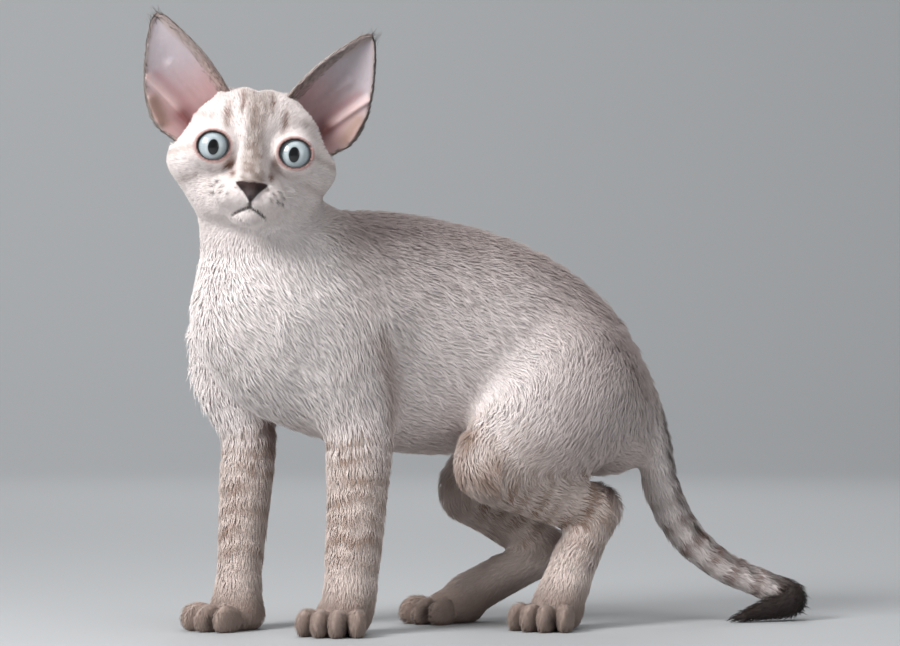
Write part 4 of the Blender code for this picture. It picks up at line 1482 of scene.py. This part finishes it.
@dataclass
class Region:
    """A part of the coat: which bones it covers and which solids it stands for.

    Split parts its bones' locks in two along Y, and beyond takes the ones behind that.
    """

    name: str
    owners: tuple
    nodes: tuple
    slot: str = "pale_coat"
    split: float | None = None
    beyond: bool = False

    def picked(self, survey: Survey) -> Array:
        """Finds the locks of this region.

        Args:
            survey: What is known of the locks' roots.

        Returns:
            Their numbers.
        """
        mine = np.isin(survey.owner, [OWNERS.index(name) for name in self.owners])
        if self.split is not None:
            places = survey.local if "head" in self.owners else survey.points
            mine &= (places[:, 1] > self.split) == self.beyond
        return np.flatnonzero(mine)


REGIONS = [
    Region("coat_face", ("head",), ("head",), split=-6.0),
    Region("coat_skull", ("head",), ("head",), split=-6.0, beyond=True),
    Region("coat_chest", ("torso",), ("torso",), split=-62.0),
    Region("coat_flanks", ("torso",), ("torso",), "back_coat", split=-62.0, beyond=True),
    Region("coat_neck", ("neck",), ("neck",)),
    Region("coat_forelegs", ("foreleg_left", "foreleg_right"),
           ("foreleg_left", "foreleg_right", "forepaw_left", "forepaw_right")),
    Region("coat_hind_left", ("thigh_left", "shank_left", "hock_left"), ("hind_leg_left", "hind_foot_left")),
    Region("coat_hind_right", ("thigh_right", "shank_right", "hock_right"),
           ("hind_leg_right", "hind_foot_right")),
    Region("coat_tail", ("tail",), ("tail_root", "tail_middle", "tail_end"), "tail_coat"),
]


@dataclass
class Coat:
    """The short wavy coat, in locks that are rooted in the skin."""

    flesh: Flesh
    points: Array
    faces: Array
    locks: int = 137000
    seed: int = 7
    rings: int = 3
    largest: int = 198000

    def roots(self) -> Array:
        """Spreads places over the skin, closer together where the coat is finer.

        Returns:
            The places.
        """
        corner = self.points[self.faces]
        spans = np.cross(corner[:, 2] - corner[:, 0], corner[:, 3] - corner[:, 1])
        area = 0.5 * np.linalg.norm(spans, axis=1)
        weight = np.cumsum(area * Relief(corner.mean(1)).level(LOCK_DENSITY))
        draw = np.random.default_rng(self.seed)
        steps = (np.arange(self.locks) + draw.random(self.locks)) / self.locks
        picks = np.searchsorted(weight, steps * weight[-1])
        a, b = draw.random((2, self.locks, 1))
        quad = corner[np.minimum(picks, len(corner) - 1)]
        return (quad[:, 0] * (1 - a) + quad[:, 1] * a) * (1 - b) + (quad[:, 3] * (1 - a) + quad[:, 2] * a) * b

    def bare(self, survey: Survey) -> Array:
        """Finds the roots where no hair grows: lids, nose leather, mouth, ear hollows and soles.

        Args:
            survey: What is known of the roots.

        Returns:
            Whether each root is bare.
        """
        x, y, z = survey.local.T
        rims = [np.hypot((x - side.value * EYE_OUT) / (LID_WIDTH + 1.2), z / (LID_HEIGHT + 1.2)) < 1
                for side in Side]
        eyes = (rims[0] | rims[1]) & (y < -12)
        nose = (np.abs(x) < np.interp(z, *NOSE_WIDTH) + 0.2) & (z > -24.6) & (z < -15.4) & (y < -33)
        half = np.abs(survey.local[:, (0, 2)]) * (1, -1)
        mouth = np.minimum(near_line(half, *MOUTH[0]), near_line(half, MOUTH[1][0], MOUTH[2][1]))
        canal = ear_canal(survey.local) * survey.relief.head > 0.35
        return eyes | nose | ((mouth < 0.6) & (y < -31)) | canal | (survey.points[:, 2] < FLOOR + 0.6)

    def build(self) -> None:
        """Makes all the pieces of the coat, with locks that lie in waves along the body."""
        draw = np.random.default_rng(self.seed + 1)
        roots = self.roots()
        roots = roots[~self.bare(Survey(roots))]
        survey = Survey(roots)
        normals = unit(self.flesh.slope(roots))
        lie = survey.lie(normals)
        relief = survey.relief
        count = len(roots)
        wavy = (1 - relief.head) * (1 - relief.paw)
        stray = (draw.random(count) < 0.05) * wavy
        x, y, z = survey.local.T
        crown = relief.head * fade(z, 19, 27) * (1 - fade(y, 8, 22))
        crown = crown * (1 - fade(np.abs(np.abs(x) - 11), 4, 13))
        length = relief.level(LOCK_LENGTH) * draw.uniform(0.75, 1.2, count) * (1 + 0.35 * stray + 0.9 * crown)
        pitch = 9.5 - 2.7 * relief.leg - 1.5 * relief.tail
        phase = TURN * (survey.along() / pitch + 0.04 * roots[:, 2])
        phase += 3.4 * uneven(roots, 52, 61) + 1.5 * uneven(roots, 19, 62)
        patchy = wavy * np.clip(0.75 + 0.45 * uneven(roots, 30, 63), 0.1, 1.2)
        crest = np.sin(phase) * patchy
        rise = relief.level(COAT_DEPTH) * (0.68 + 0.14 * crest + 0.3 * relief.paw)
        rise = rise * draw.uniform(0.84, 1.08, count) * (1 + 0.3 * stray + 2.2 * crown)
        run = np.sqrt(np.maximum(length**2 - rise**2, 0.5))
        across = np.cross(normals, lie)
        lie = unit(lie + across * draw.normal(size=(count, 1)) * 0.11)
        sink = 0.35 * relief.level(LOCK_WIDTH) + 0.15
        centres = np.empty((count, self.rings, 3))
        spot = roots
        for k, t in enumerate(np.linspace(0, 1, self.rings)):
            height = rise * (1 - (1 - t) ** 2) * (1 - 0.2 * t * t * wavy) - sink * (1 - t)
            centres[:, k] = spot + normals * height[:, None]
            swing = 0.36 * patchy * np.cos(phase + TURN * run * t / pitch)
            spot = spot + unit(lie + across * swing[:, None]) * (run / (self.rings - 1))[:, None]
        centres[:, 1:, 2] = np.maximum(centres[:, 1:, 2], FLOOR + 0.15)
        thick = relief.level(LOCK_WIDTH) * draw.uniform(0.75, 1.25, count)
        widths = thick[:, None] * np.array([0.85, 0.95, 0.0])
        base = tinted(MarkingsAndShade(survey).painted(), draw, 0.06)
        # painted shade and highlight: each lock darker at its root and lighter towards its tip, and lighter
        # on the crests of the waves
        shade = np.array([0.93, 1.0, 1.04])[None, :, None] + 0.03 * crest[:, None, None]
        colours = np.clip(base[:, None] * shade, 0, 1)
        places = unwrapped(survey.owner, survey.arcs, survey.angles, survey.local)
        for region in REGIONS:
            picked = region.picked(survey)
            parts = -(-len(picked) * (6 * self.rings - 8) // self.largest)
            for number, part in enumerate(np.array_split(picked, parts), 1):
                Strands(f"{region.name}_{number}" if parts > 1 else region.name, centres[part], widths[part],
                        across[part], colours[part], places[part],
                        normals[part]).build(COAT_FINISH, region.slot, region.nodes)


LILAC = np.array((0.42, 0.37, 0.395))
ROSE = np.array((0.42, 0.27, 0.27))
# The next three colours: painted shade deep in the canal, the ridge's pink lightened as painted highlight,
# and the furrow darkened as painted shade
CANAL_SHADE = np.array((0.17, 0.045, 0.045))
RIDGE_PINK_AND_HIGHLIGHT = np.array((0.66, 0.49, 0.47))
FURROW_SHADE = np.array((0.36, 0.20, 0.21))
EAR_RIDGE = ((7, 0), (15.5, 25))

# On the ear's hollow side: where a fold starts and ends, its width and its height
EAR_FOLDS = ((*EAR_RIDGE, 1.5, 2.2), ((-3, 6), (4, 27), 2.2, 1.2), ((18.2, 4), (18.0, 15), 1.8, 2.0))

# On the ear's hollow side: a colour, where its line starts and ends, its width and its strength. The dark red
# spot low down is painted shade in the canal, and the lighter ridge and the darker furrow are painted
# highlight and painted shade along the folds, over the ear's own pink.
EAR_STAINS_AND_SHADE = ((RIDGE_PINK_AND_HIGHLIGHT, *EAR_RIDGE, 1.8, 0.7), (FURROW_SHADE, (3, 2), (12, 25), 2.0, 0.6),
              (CANAL_SHADE, (7, -3), (9, 4), 4.0, 0.9), (BAR, (17.5, 3), (17.5, 15), 2.6, 0.75),
              (BROWN, (19.4, 15), (20.6, 6), 0.9, 0.8))


@dataclass(frozen=True)
class Fur:
    """A kind of ear hair: how many, between which shares of half a turn round the ear, and its size."""

    count: int
    low: float
    high: float
    length: float
    width: float
    rise: float


EAR_FUR = (
    Fur(3600, 1.0, 2.0, 3.4, 0.40, 0.75),
    Fur(1900, 0.74, 1.0, 2.6, 0.30, 0.5),
    Fur(700, -0.12, 0.10, 2.2, 0.28, 0.5),
    Fur(170, 0.1, 0.72, 2.4, 0.06, 0.5),
)
DOWN_WIDTH = 0.15  # hairs thinner than this are the pale down of the hollow side


@dataclass
class Ear:
    """One thin cupped ear with its folds, its rim of short fur and the dark hairs at its tip."""

    side: Side
    rows: int = 64
    columns: int = 112
    foot: float = -10.0
    thickness: float = 1.5
    tips: int = 46

    def surface(self, turn: Array, up: Array, extra: float = 0.0) -> Array:
        """Finds places on the ear's skin.

        Args:
            turn: The angle round the ear's section: 0 is its outer edge, and up to pi its hollow side.
            up: The height along the ear.
            extra: How much further out to lie.

        Returns:
            Places in the kitten's frame.
        """
        share = np.cos(turn)
        outer, inner = ear_edges(up)
        half = (outer - inner) / 2 - 0.6
        cup = np.interp(up, *EAR_CUP)
        bend = np.arctan2(2 * cup * share, half)
        thick = (0.5 * self.thickness + extra) * np.sign(np.sin(turn)) * np.abs(np.sin(turn)) ** 0.5
        across = (outer + inner) / 2 + (half + extra * np.abs(share)) * share - thick * np.sin(bend)
        deep = -cup * (1 - share**2) + thick * np.cos(bend)
        flat = np.stack([across, up], axis=-1).reshape(-1, 2)
        folds = sum(high * hill(near_line(flat, start, end) / wide) for start, end, wide, high in EAR_FOLDS)
        deep = deep + fade(np.sin(turn), 0.05, 0.35) * folds.reshape(np.shape(up))
        spots = EAR.outward(np.stack([across, deep, up], axis=-1).reshape(-1, 3)) * (self.side.value, 1, 1)
        return HEAD.outward(spots).reshape(*np.shape(up), 3)

    def paint(self, turn: Array, up: Array) -> Array:
        """Finds the ear's colours.

        Args:
            turn: The angle round the ear's section, as for surface.
            up: The height along the ear.

        Returns:
            A colour for each place.
        """
        outer, inner = ear_edges(up)
        across = (outer + inner) / 2 + (outer - inner) / 2 * np.cos(turn)
        flat = np.stack([across, up], axis=1)
        colour = mixed(np.tile(ROSE, (len(up), 1)), LILAC, fade(up, 8, 34))
        for stain_and_shade, start, end, width, strength in EAR_STAINS_AND_SHADE:
            colour = mixed(colour, stain_and_shade, strength * hill(near_line(flat, start, end) / width))
        band = 1 - fade(across - inner, 3.0, 6.5)
        edge = 1 - fade(outer - across, 0.5, 2.0)
        colour = mixed(colour, TICKED * 1.25, 0.7 * np.maximum(band, 0.8 * edge))
        back = mixed(np.tile(TICKED * 1.35, (len(up), 1)), PALE, 0.35 * hill((up - 22) / 14))
        back = mixed(back, BROWN, 0.4 * fade(up, 36, 50))
        return mixed(back, colour, fade(np.sin(turn), 0.0, 0.12))

    def placed(self, share: Array, up: Array) -> Array:
        """Places on the unwrap, from shares of a turn and heights."""
        return in_tile(EAR_TILES[self.side], share, (up - self.foot) / (EAR_TIP - self.foot))

    def build(self) -> None:
        """Makes the ear's skin and its hairs."""
        turn = np.linspace(0, TURN, self.columns, endpoint=False)
        shares = np.linspace(0, 1, self.rows)
        ups = self.foot + (EAR_TIP - 0.4 - self.foot) * (1 - (1 - shares) ** 1.25)
        angles, heights = np.meshgrid(turn, ups)
        points = self.surface(angles, heights).reshape(-1, 3)
        points = np.vstack([points, points[-self.columns:].mean(0)])
        cell = np.arange((self.rows - 1) * self.columns)
        right = cell // self.columns * self.columns + (cell + 1) % self.columns
        last = (self.rows - 1) * self.columns
        ring = np.arange(self.columns)
        tip = np.full(self.columns, len(points) - 1)
        faces = np.vstack([
            np.stack([cell, right, right + self.columns], 1),
            np.stack([cell, right + self.columns, cell + self.columns], 1),
            np.stack([last + ring, last + (ring + 1) % self.columns, tip], 1),
        ])
        if self.side is Side.RIGHT:
            faces = faces[:, ::-1]
        colours = self.paint(angles.ravel(), heights.ravel())
        colours = np.vstack([colours, colours[-1:]])
        around = closed_up(np.append(angles.ravel() / TURN, 0.5), faces)
        rise = np.append(heights.ravel(), EAR_TIP)[faces.ravel()]
        piece = mesh_object(f"ear_{self.side.word}_skin", points, faces, colours, EAR_FINISH,
                            self.placed(around, rise))
        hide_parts(f"ear_{self.side.word}")
        self.hairs()

    def hairs(self) -> None:
        """The short fur of the ear's back and rims, sparse down inside, and the dark hairs of its tip."""
        draw = np.random.default_rng(70 + self.side.value)
        groups = []
        for fur in EAR_FUR:
            turn = draw.uniform(fur.low * np.pi, fur.high * np.pi, fur.count)
            up = np.minimum(-9 + (EAR_TIP + 8.5) * draw.random(fur.count) ** 0.9, EAR_TIP - 0.8)
            sizes = [np.full(fur.count, size) for size in (fur.length, fur.width, fur.rise)]
            groups.append([turn, up, *sizes])
        turn, up, length, width, rise = (np.concatenate(rows) for rows in zip(*groups))
        roots = self.surface(turn, up)
        way = unit(self.surface(turn, np.minimum(up + 0.8, EAR_TIP - 0.1)) - roots)
        normal = unit(across_from(unit(self.surface(turn, up, 0.8) - roots), way))
        across = np.cross(normal, way)
        length = length * draw.uniform(0.7, 1.3, len(turn)) * (1 - 0.35 * fade(up, 38, 50))
        rise = rise * draw.uniform(0.5, 1.2, len(turn))
        way = unit(way + across * draw.normal(size=(len(turn), 1)) * 0.16)
        centres = np.stack([roots + normal * (rise * (1 - (1 - t) ** 2) - 0.15 * (1 - t))[:, None]
                            + way * (length * t)[:, None] for t in np.linspace(0, 1, 3)], axis=1)
        colour = tinted(self.paint(turn, up), draw, 0.14)
        down = width < DOWN_WIDTH
        colour[down] *= 1.3
        colour[(draw.random(len(turn)) < 0.22) & ~down] *= 0.55
        # painted shade: each hair darker at its root and lighter towards its tip
        colours = np.clip(colour[:, None] * np.array([0.88, 1.0, 1.08])[None, :, None], 0, 1)
        widths = width[:, None] * np.array([0.85, 1.0, 0.0])
        Strands(f"coat_ear_{self.side.word}", centres, widths, across, colours,
                self.placed(turn % TURN / TURN, up), normal).build(
            COAT_FINISH, "ear_skin", (f"ear_{self.side.word}",))
        self.tip_hairs(draw)

    def tip_hairs(self, draw: np.random.Generator) -> None:
        """Makes the few long dark hairs at the ear's tip.

        Args:
            draw: Where their chances come from.
        """
        turn = draw.uniform(0, TURN, self.tips)
        roots = self.surface(turn, EAR_TIP - draw.uniform(0.4, 5.0, self.tips))
        aim = HEAD.outward([ear_spot(self.side.value, 2.0, 0, 60)])[0]
        way = unit(aim - roots + draw.normal(size=(self.tips, 3)) * 3.2)
        across = unit(np.cross(way, draw.normal(size=(self.tips, 3))))
        length = draw.uniform(3.0, 7.5, self.tips)
        centres = np.stack([roots + way * (length * t)[:, None] + across * (0.5 * t * t)
                            for t in np.linspace(0, 1, 4)], axis=1)
        widths = np.full((self.tips, 1), 0.20) * np.array([1.0, 0.9, 0.6, 0.0])
        places = in_tile(EAR_TILES[self.side], turn / TURN, np.full(self.tips, 0.99))
        colours = np.tile(DARK * 2.0, (self.tips, 4, 1))
        Strands(f"tip_hairs_{self.side.word}", centres, widths, across, colours,
                places).build(COAT_FINISH, "ear_skin", (f"ear_{self.side.word}",))


IRIS = np.array((0.38, 0.44, 0.465))
IRIS_INNER = np.array((0.52, 0.565, 0.575))
IRIS_EDGE = np.array((0.06, 0.09, 0.11))
PUPIL = np.array((0.003, 0.003, 0.004))
PUPIL_EDGE = np.array((0.06, 0.10, 0.13))
EYE_WHITE = np.array((0.55, 0.40, 0.37))


@dataclass
class Eye:
    """One glossy eye that looks at the camera."""

    side: Side
    radius: float = EYE_RADIUS - 0.1
    pupil_width: float = 2.5
    pupil_height: float = 3.6
    iris: float = 7.6
    rings: int = 110
    columns: int = 144

    def build(self) -> None:
        """Makes the eyeball."""
        centre = HEAD.outward([(self.side.value * EYE_SPACING / 2, EYE_DEPTH, 0)])[0]
        gaze = unit(np.array(VIEW_PLACE) - centre)
        up = unit(HEAD.turn[:, 2] - gaze * (HEAD.turn[:, 2] @ gaze))
        polar = np.pi * np.linspace(0, 1, self.rings) ** 1.5
        turn = np.linspace(0, TURN, self.columns, endpoint=False)
        angle, spin = np.meshgrid(polar[1:-1], turn, indexing="ij")
        flat = np.stack([np.sin(angle) * np.cos(spin), np.sin(angle) * np.sin(spin), np.cos(angle)], axis=-1)
        flat = self.radius * np.vstack([flat.reshape(-1, 3), (0, 0, 1), (0, 0, -1)])
        points = centre + flat @ np.stack([np.cross(up, gaze), up, gaze])
        rows = self.rings - 2
        cell = np.arange((rows - 1) * self.columns)
        beside = cell // self.columns * self.columns + (cell + 1) % self.columns
        ring = np.arange(self.columns)
        next_ring = (ring + 1) % self.columns
        front = np.full(self.columns, rows * self.columns)
        base = (rows - 1) * self.columns
        faces = np.vstack([
            np.stack([cell, cell + self.columns, beside + self.columns], 1),
            np.stack([cell, beside + self.columns, beside], 1),
            np.stack([front, ring, next_ring], 1),
            np.stack([front + 1, base + next_ring, base + ring], 1),
        ])
        around = closed_up(np.append(spin.ravel() / TURN, (0.5, 0.5)), faces)
        out = np.append(angle.ravel() / np.pi, (0.0, 1.0))[faces.ravel()]
        places = 0.02 + 0.96 * np.stack([np.clip(around, 0, 1), out], axis=1)
        piece = mesh_object(f"eyeball_{self.side.word}", points, faces, self.paint(flat), EYE_FINISH, places)
        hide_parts(f"eye_{self.side.word}")

    def paint(self, flat: Array) -> Array:
        """Finds the colours of pupil, iris and white.

        Args:
            flat: Places in the eye's own frame, with the last axis along the gaze.

        Returns:
            A colour for each place.
        """
        x, y, z = flat.T
        out = np.hypot(x, y)
        spin = np.arctan2(y, x)
        streaks = np.sin(47 * spin + 3 * np.sin(5 * spin)) + np.sin(83 * spin + 2 * np.sin(9 * spin) + out)
        colour = np.tile(IRIS, (len(flat), 1)) * (1 + 0.05 * streaks * fade(out, 2.4, 4.0))[:, None]
        colour = mixed(colour, IRIS_INNER, 0.7 * (1 - fade(out, 2.6, 5.0)))
        colour = mixed(colour, IRIS_EDGE, 0.75 * fade(out, 5.6, self.iris - 0.2))
        slit = np.hypot(x / self.pupil_width, y / self.pupil_height)
        colour = mixed(colour, PUPIL_EDGE, 0.35 * (1 - fade(slit, 1.0, 1.35)))
        colour = mixed(colour, PUPIL, 1 - fade(slit, 0.94, 1.04))
        colour = mixed(colour, DARK, fade(out, self.iris - 0.3, self.iris + 0.1) * (z > 0))
        return mixed(colour, EYE_WHITE, np.where(z > 0, 0.0, 1.0))


@dataclass
class Whiskers:
    """The short curled whiskers of the muzzle and brow."""

    seed: int = 9
    muzzle: tuple = ((16.5, -17.5), (14.5, -15.5), (12.5, -18), (16, -20.5), (13, -20.5), (10.5, -21.5),
                     (14.5, -23))
    brow: tuple = ((13, 10.5), (15.5, 11), (18, 10.5))
    tone: tuple = (0.85, 0.82, 0.80)

    def build(self) -> None:
        """Makes all the whiskers as one piece."""
        draw = np.random.default_rng(self.seed)
        rows = []
        for side in Side:
            s = side.value
            for x, z in self.muzzle:
                way = (s * 0.9, -0.35, draw.uniform(-0.35, 0.15))
                rows.append(((s * x, -34.5, z), way, draw.uniform(4, 10)))
            for x, z in self.brow:
                rows.append(((s * x, -27, z), (s * 0.35, -0.5, 0.9), draw.uniform(5, 9)))
        starts, ways, length = (np.array(values, float) for values in zip(*rows))
        ways = unit(ways + draw.normal(size=(len(rows), 3)) * 0.12)
        bend = unit(np.cross(ways, draw.normal(size=(len(rows), 3))))
        steps = np.linspace(0, 1, 9)
        centres = np.stack([starts + ways * (length * t)[:, None] + bend * (1.6 * np.sin(3.6 * t) * t)
                            - np.array((0, 0, 1.0)) * (1.8 * t * t) for t in steps], axis=1)
        centres = HEAD.outward(centres.reshape(-1, 3)).reshape(centres.shape)
        widths = 0.10 * (1 - steps) ** 0.6 * np.ones((len(rows), 1))
        colours = np.tile(np.array(self.tone), (len(rows), len(steps), 1))
        places = in_tile(HEAD_TILE, draw.random(len(rows)), draw.random(len(rows)))
        Strands("whiskers", centres, widths, bend @ HEAD.turn.T, colours, places,
                flat=1.0).build(WHISKER_FINISH, "pale_coat", ("head",))


@dataclass(frozen=True)
class Lamp:
    """A square area light.

    Aside is how far it stands to the right of the camera and rise how high, both in degrees as seen
    from aim, and distance, size and aim are in metres.
    """

    name: str
    aside: float
    rise: float
    distance: float
    size: float
    power: float
    tone: tuple = (1, 1, 1)
    aim: tuple = (0, 0, 0.15)

    def build(self) -> None:
        """Makes the light."""
        light = bpy.data.lights.new(self.name, "AREA")
        light.shape = "SQUARE"
        light.size = self.size
        light.energy = self.power
        light.color = self.tone
        thing = bpy.data.objects.new(self.name, light)
        a, e = radians(VIEW_AZIMUTH + self.aside), radians(self.rise)
        back = Vector((np.sin(a) * np.cos(e), -np.cos(a) * np.cos(e), np.sin(e)))
        thing.location = back * self.distance + Vector(self.aim)
        thing.rotation_euler = back.to_track_quat("Z", "Y").to_euler()
        bpy.context.scene.collection.objects.link(thing)


@dataclass
class Studio:
    """The plain floor, the soft lights and the camera. Its own sizes are in metres."""

    floor_tone: tuple = (0.42, 0.43, 0.44)
    radius: float = 3.4
    wall: float = 2.6
    curve: float = 1.2
    columns: int = 72
    behind: float = 3.1
    air_tone: tuple = (0.94, 0.97, 1.0)
    air_strength: float = 0.28

    def build(self) -> None:
        """Makes all of it."""
        self.floor()
        self.lights()
        self.camera()

    def floor(self) -> None:
        """Makes a floor that curves up into a wall all round."""
        mesh = bpy.data.meshes.new("floor")
        flat = self.radius - self.curve
        profile = [(0.02, 0.0), (flat * 0.5, 0.0)]
        profile += [(flat + self.curve * np.sin(a), self.curve * (1 - np.cos(a)))
                    for a in np.linspace(0, np.pi / 2, 14)]
        profile.append((self.radius, self.wall))
        around = np.linspace(0, TURN, self.columns, endpoint=False)
        points = [(float(r * np.cos(a)), float(r * np.sin(a)), float(z)) for r, z in profile for a in around]
        corners = ((0, 0), (0, 1), (1, 1), (1, 0))
        faces = [tuple((k + up) * self.columns + (j + on) % self.columns for up, on in corners)
                 for k in range(len(profile) - 1) for j in range(self.columns)]
        faces.append(tuple(range(self.columns))[::-1])
        mesh.from_pydata(points, [], faces)
        mesh.shade_smooth()
        thing = bpy.data.objects.new("floor", mesh)
        bpy.context.scene.collection.objects.link(thing)
        material = bpy.data.materials.new("floor")
        material.use_nodes = True
        nodes, links = material.node_tree.nodes, material.node_tree.links
        shader = nodes["Principled BSDF"]
        shader.inputs["Roughness"].default_value = 0.75
        noise = nodes.new("ShaderNodeTexNoise")
        noise.inputs["Scale"].default_value = 3.0
        ramp = nodes.new("ShaderNodeValToRGB")
        ramp.color_ramp.elements[0].color = (*[0.97 * v for v in self.floor_tone], 1)
        ramp.color_ramp.elements[1].color = (*self.floor_tone, 1)
        links.new(noise.outputs["Fac"], ramp.inputs["Fac"])
        links.new(ramp.outputs["Color"], shader.inputs["Base Color"])
        mesh.materials.append(material)
        LOG.info("floor: %d faces", len(faces))

    def lights(self) -> None:
        """Makes a soft light at the camera's left, weaker ones round the kitten and one for the wall."""
        bpy.context.scene.view_settings.view_transform = "Standard"
        a = radians(VIEW_AZIMUTH)
        wall = (-self.behind * np.sin(a), self.behind * np.cos(a), 0.55)
        for lamp in (
            Lamp("key", -48, 30, 1.35, 0.5, 21), Lamp("fill", 40, 14, 2.0, 1.2, 8, (0.95, 0.97, 1.0)),
            Lamp("top", -10, 74, 1.7, 1.2, 12), Lamp("rear", 175, 40, 1.9, 0.9, 6),
            Lamp("wall", -25, 42, 2.0, 1.4, 24, aim=wall),
        ):
            lamp.build()
        world = bpy.data.worlds.new("air")
        world.use_nodes = True
        air = world.node_tree.nodes["Background"]
        air.inputs["Color"].default_value = (*self.air_tone, 1)
        air.inputs["Strength"].default_value = self.air_strength
        bpy.context.scene.world = world

    def camera(self) -> None:
        """Makes the camera, where the photograph was taken from."""
        data = bpy.data.cameras.new("camera")
        data.sensor_width = SENSOR
        data.lens = FOCAL_PIXELS / PICTURE_WIDTH * SENSOR
        thing = bpy.data.objects.new("camera", data)
        thing.location = (np.array(VIEW_PLACE) + SHIFT) * MM
        a = radians(VIEW_AZIMUTH)
        ahead = Vector((-np.sin(a), np.cos(a), tan(radians(VIEW_RISE))))
        thing.rotation_euler = ahead.to_track_quat("-Z", "Y").to_euler()
        bpy.context.scene.collection.objects.link(thing)
        bpy.context.scene.camera = thing


def main() -> None:
    """Makes the kitten and its studio."""
    logging.basicConfig(level=logging.INFO, format="%(name)s %(message)s")
    flesh = Flesh(all_forms())
    points, faces = Skin(flesh).build()
    for side in Side:
        Eye(side).build()
        Ear(side).build()
    Coat(flesh, points, faces).build()
    Whiskers().build()
    Studio().build()


if __name__ == "__main__":
    main()
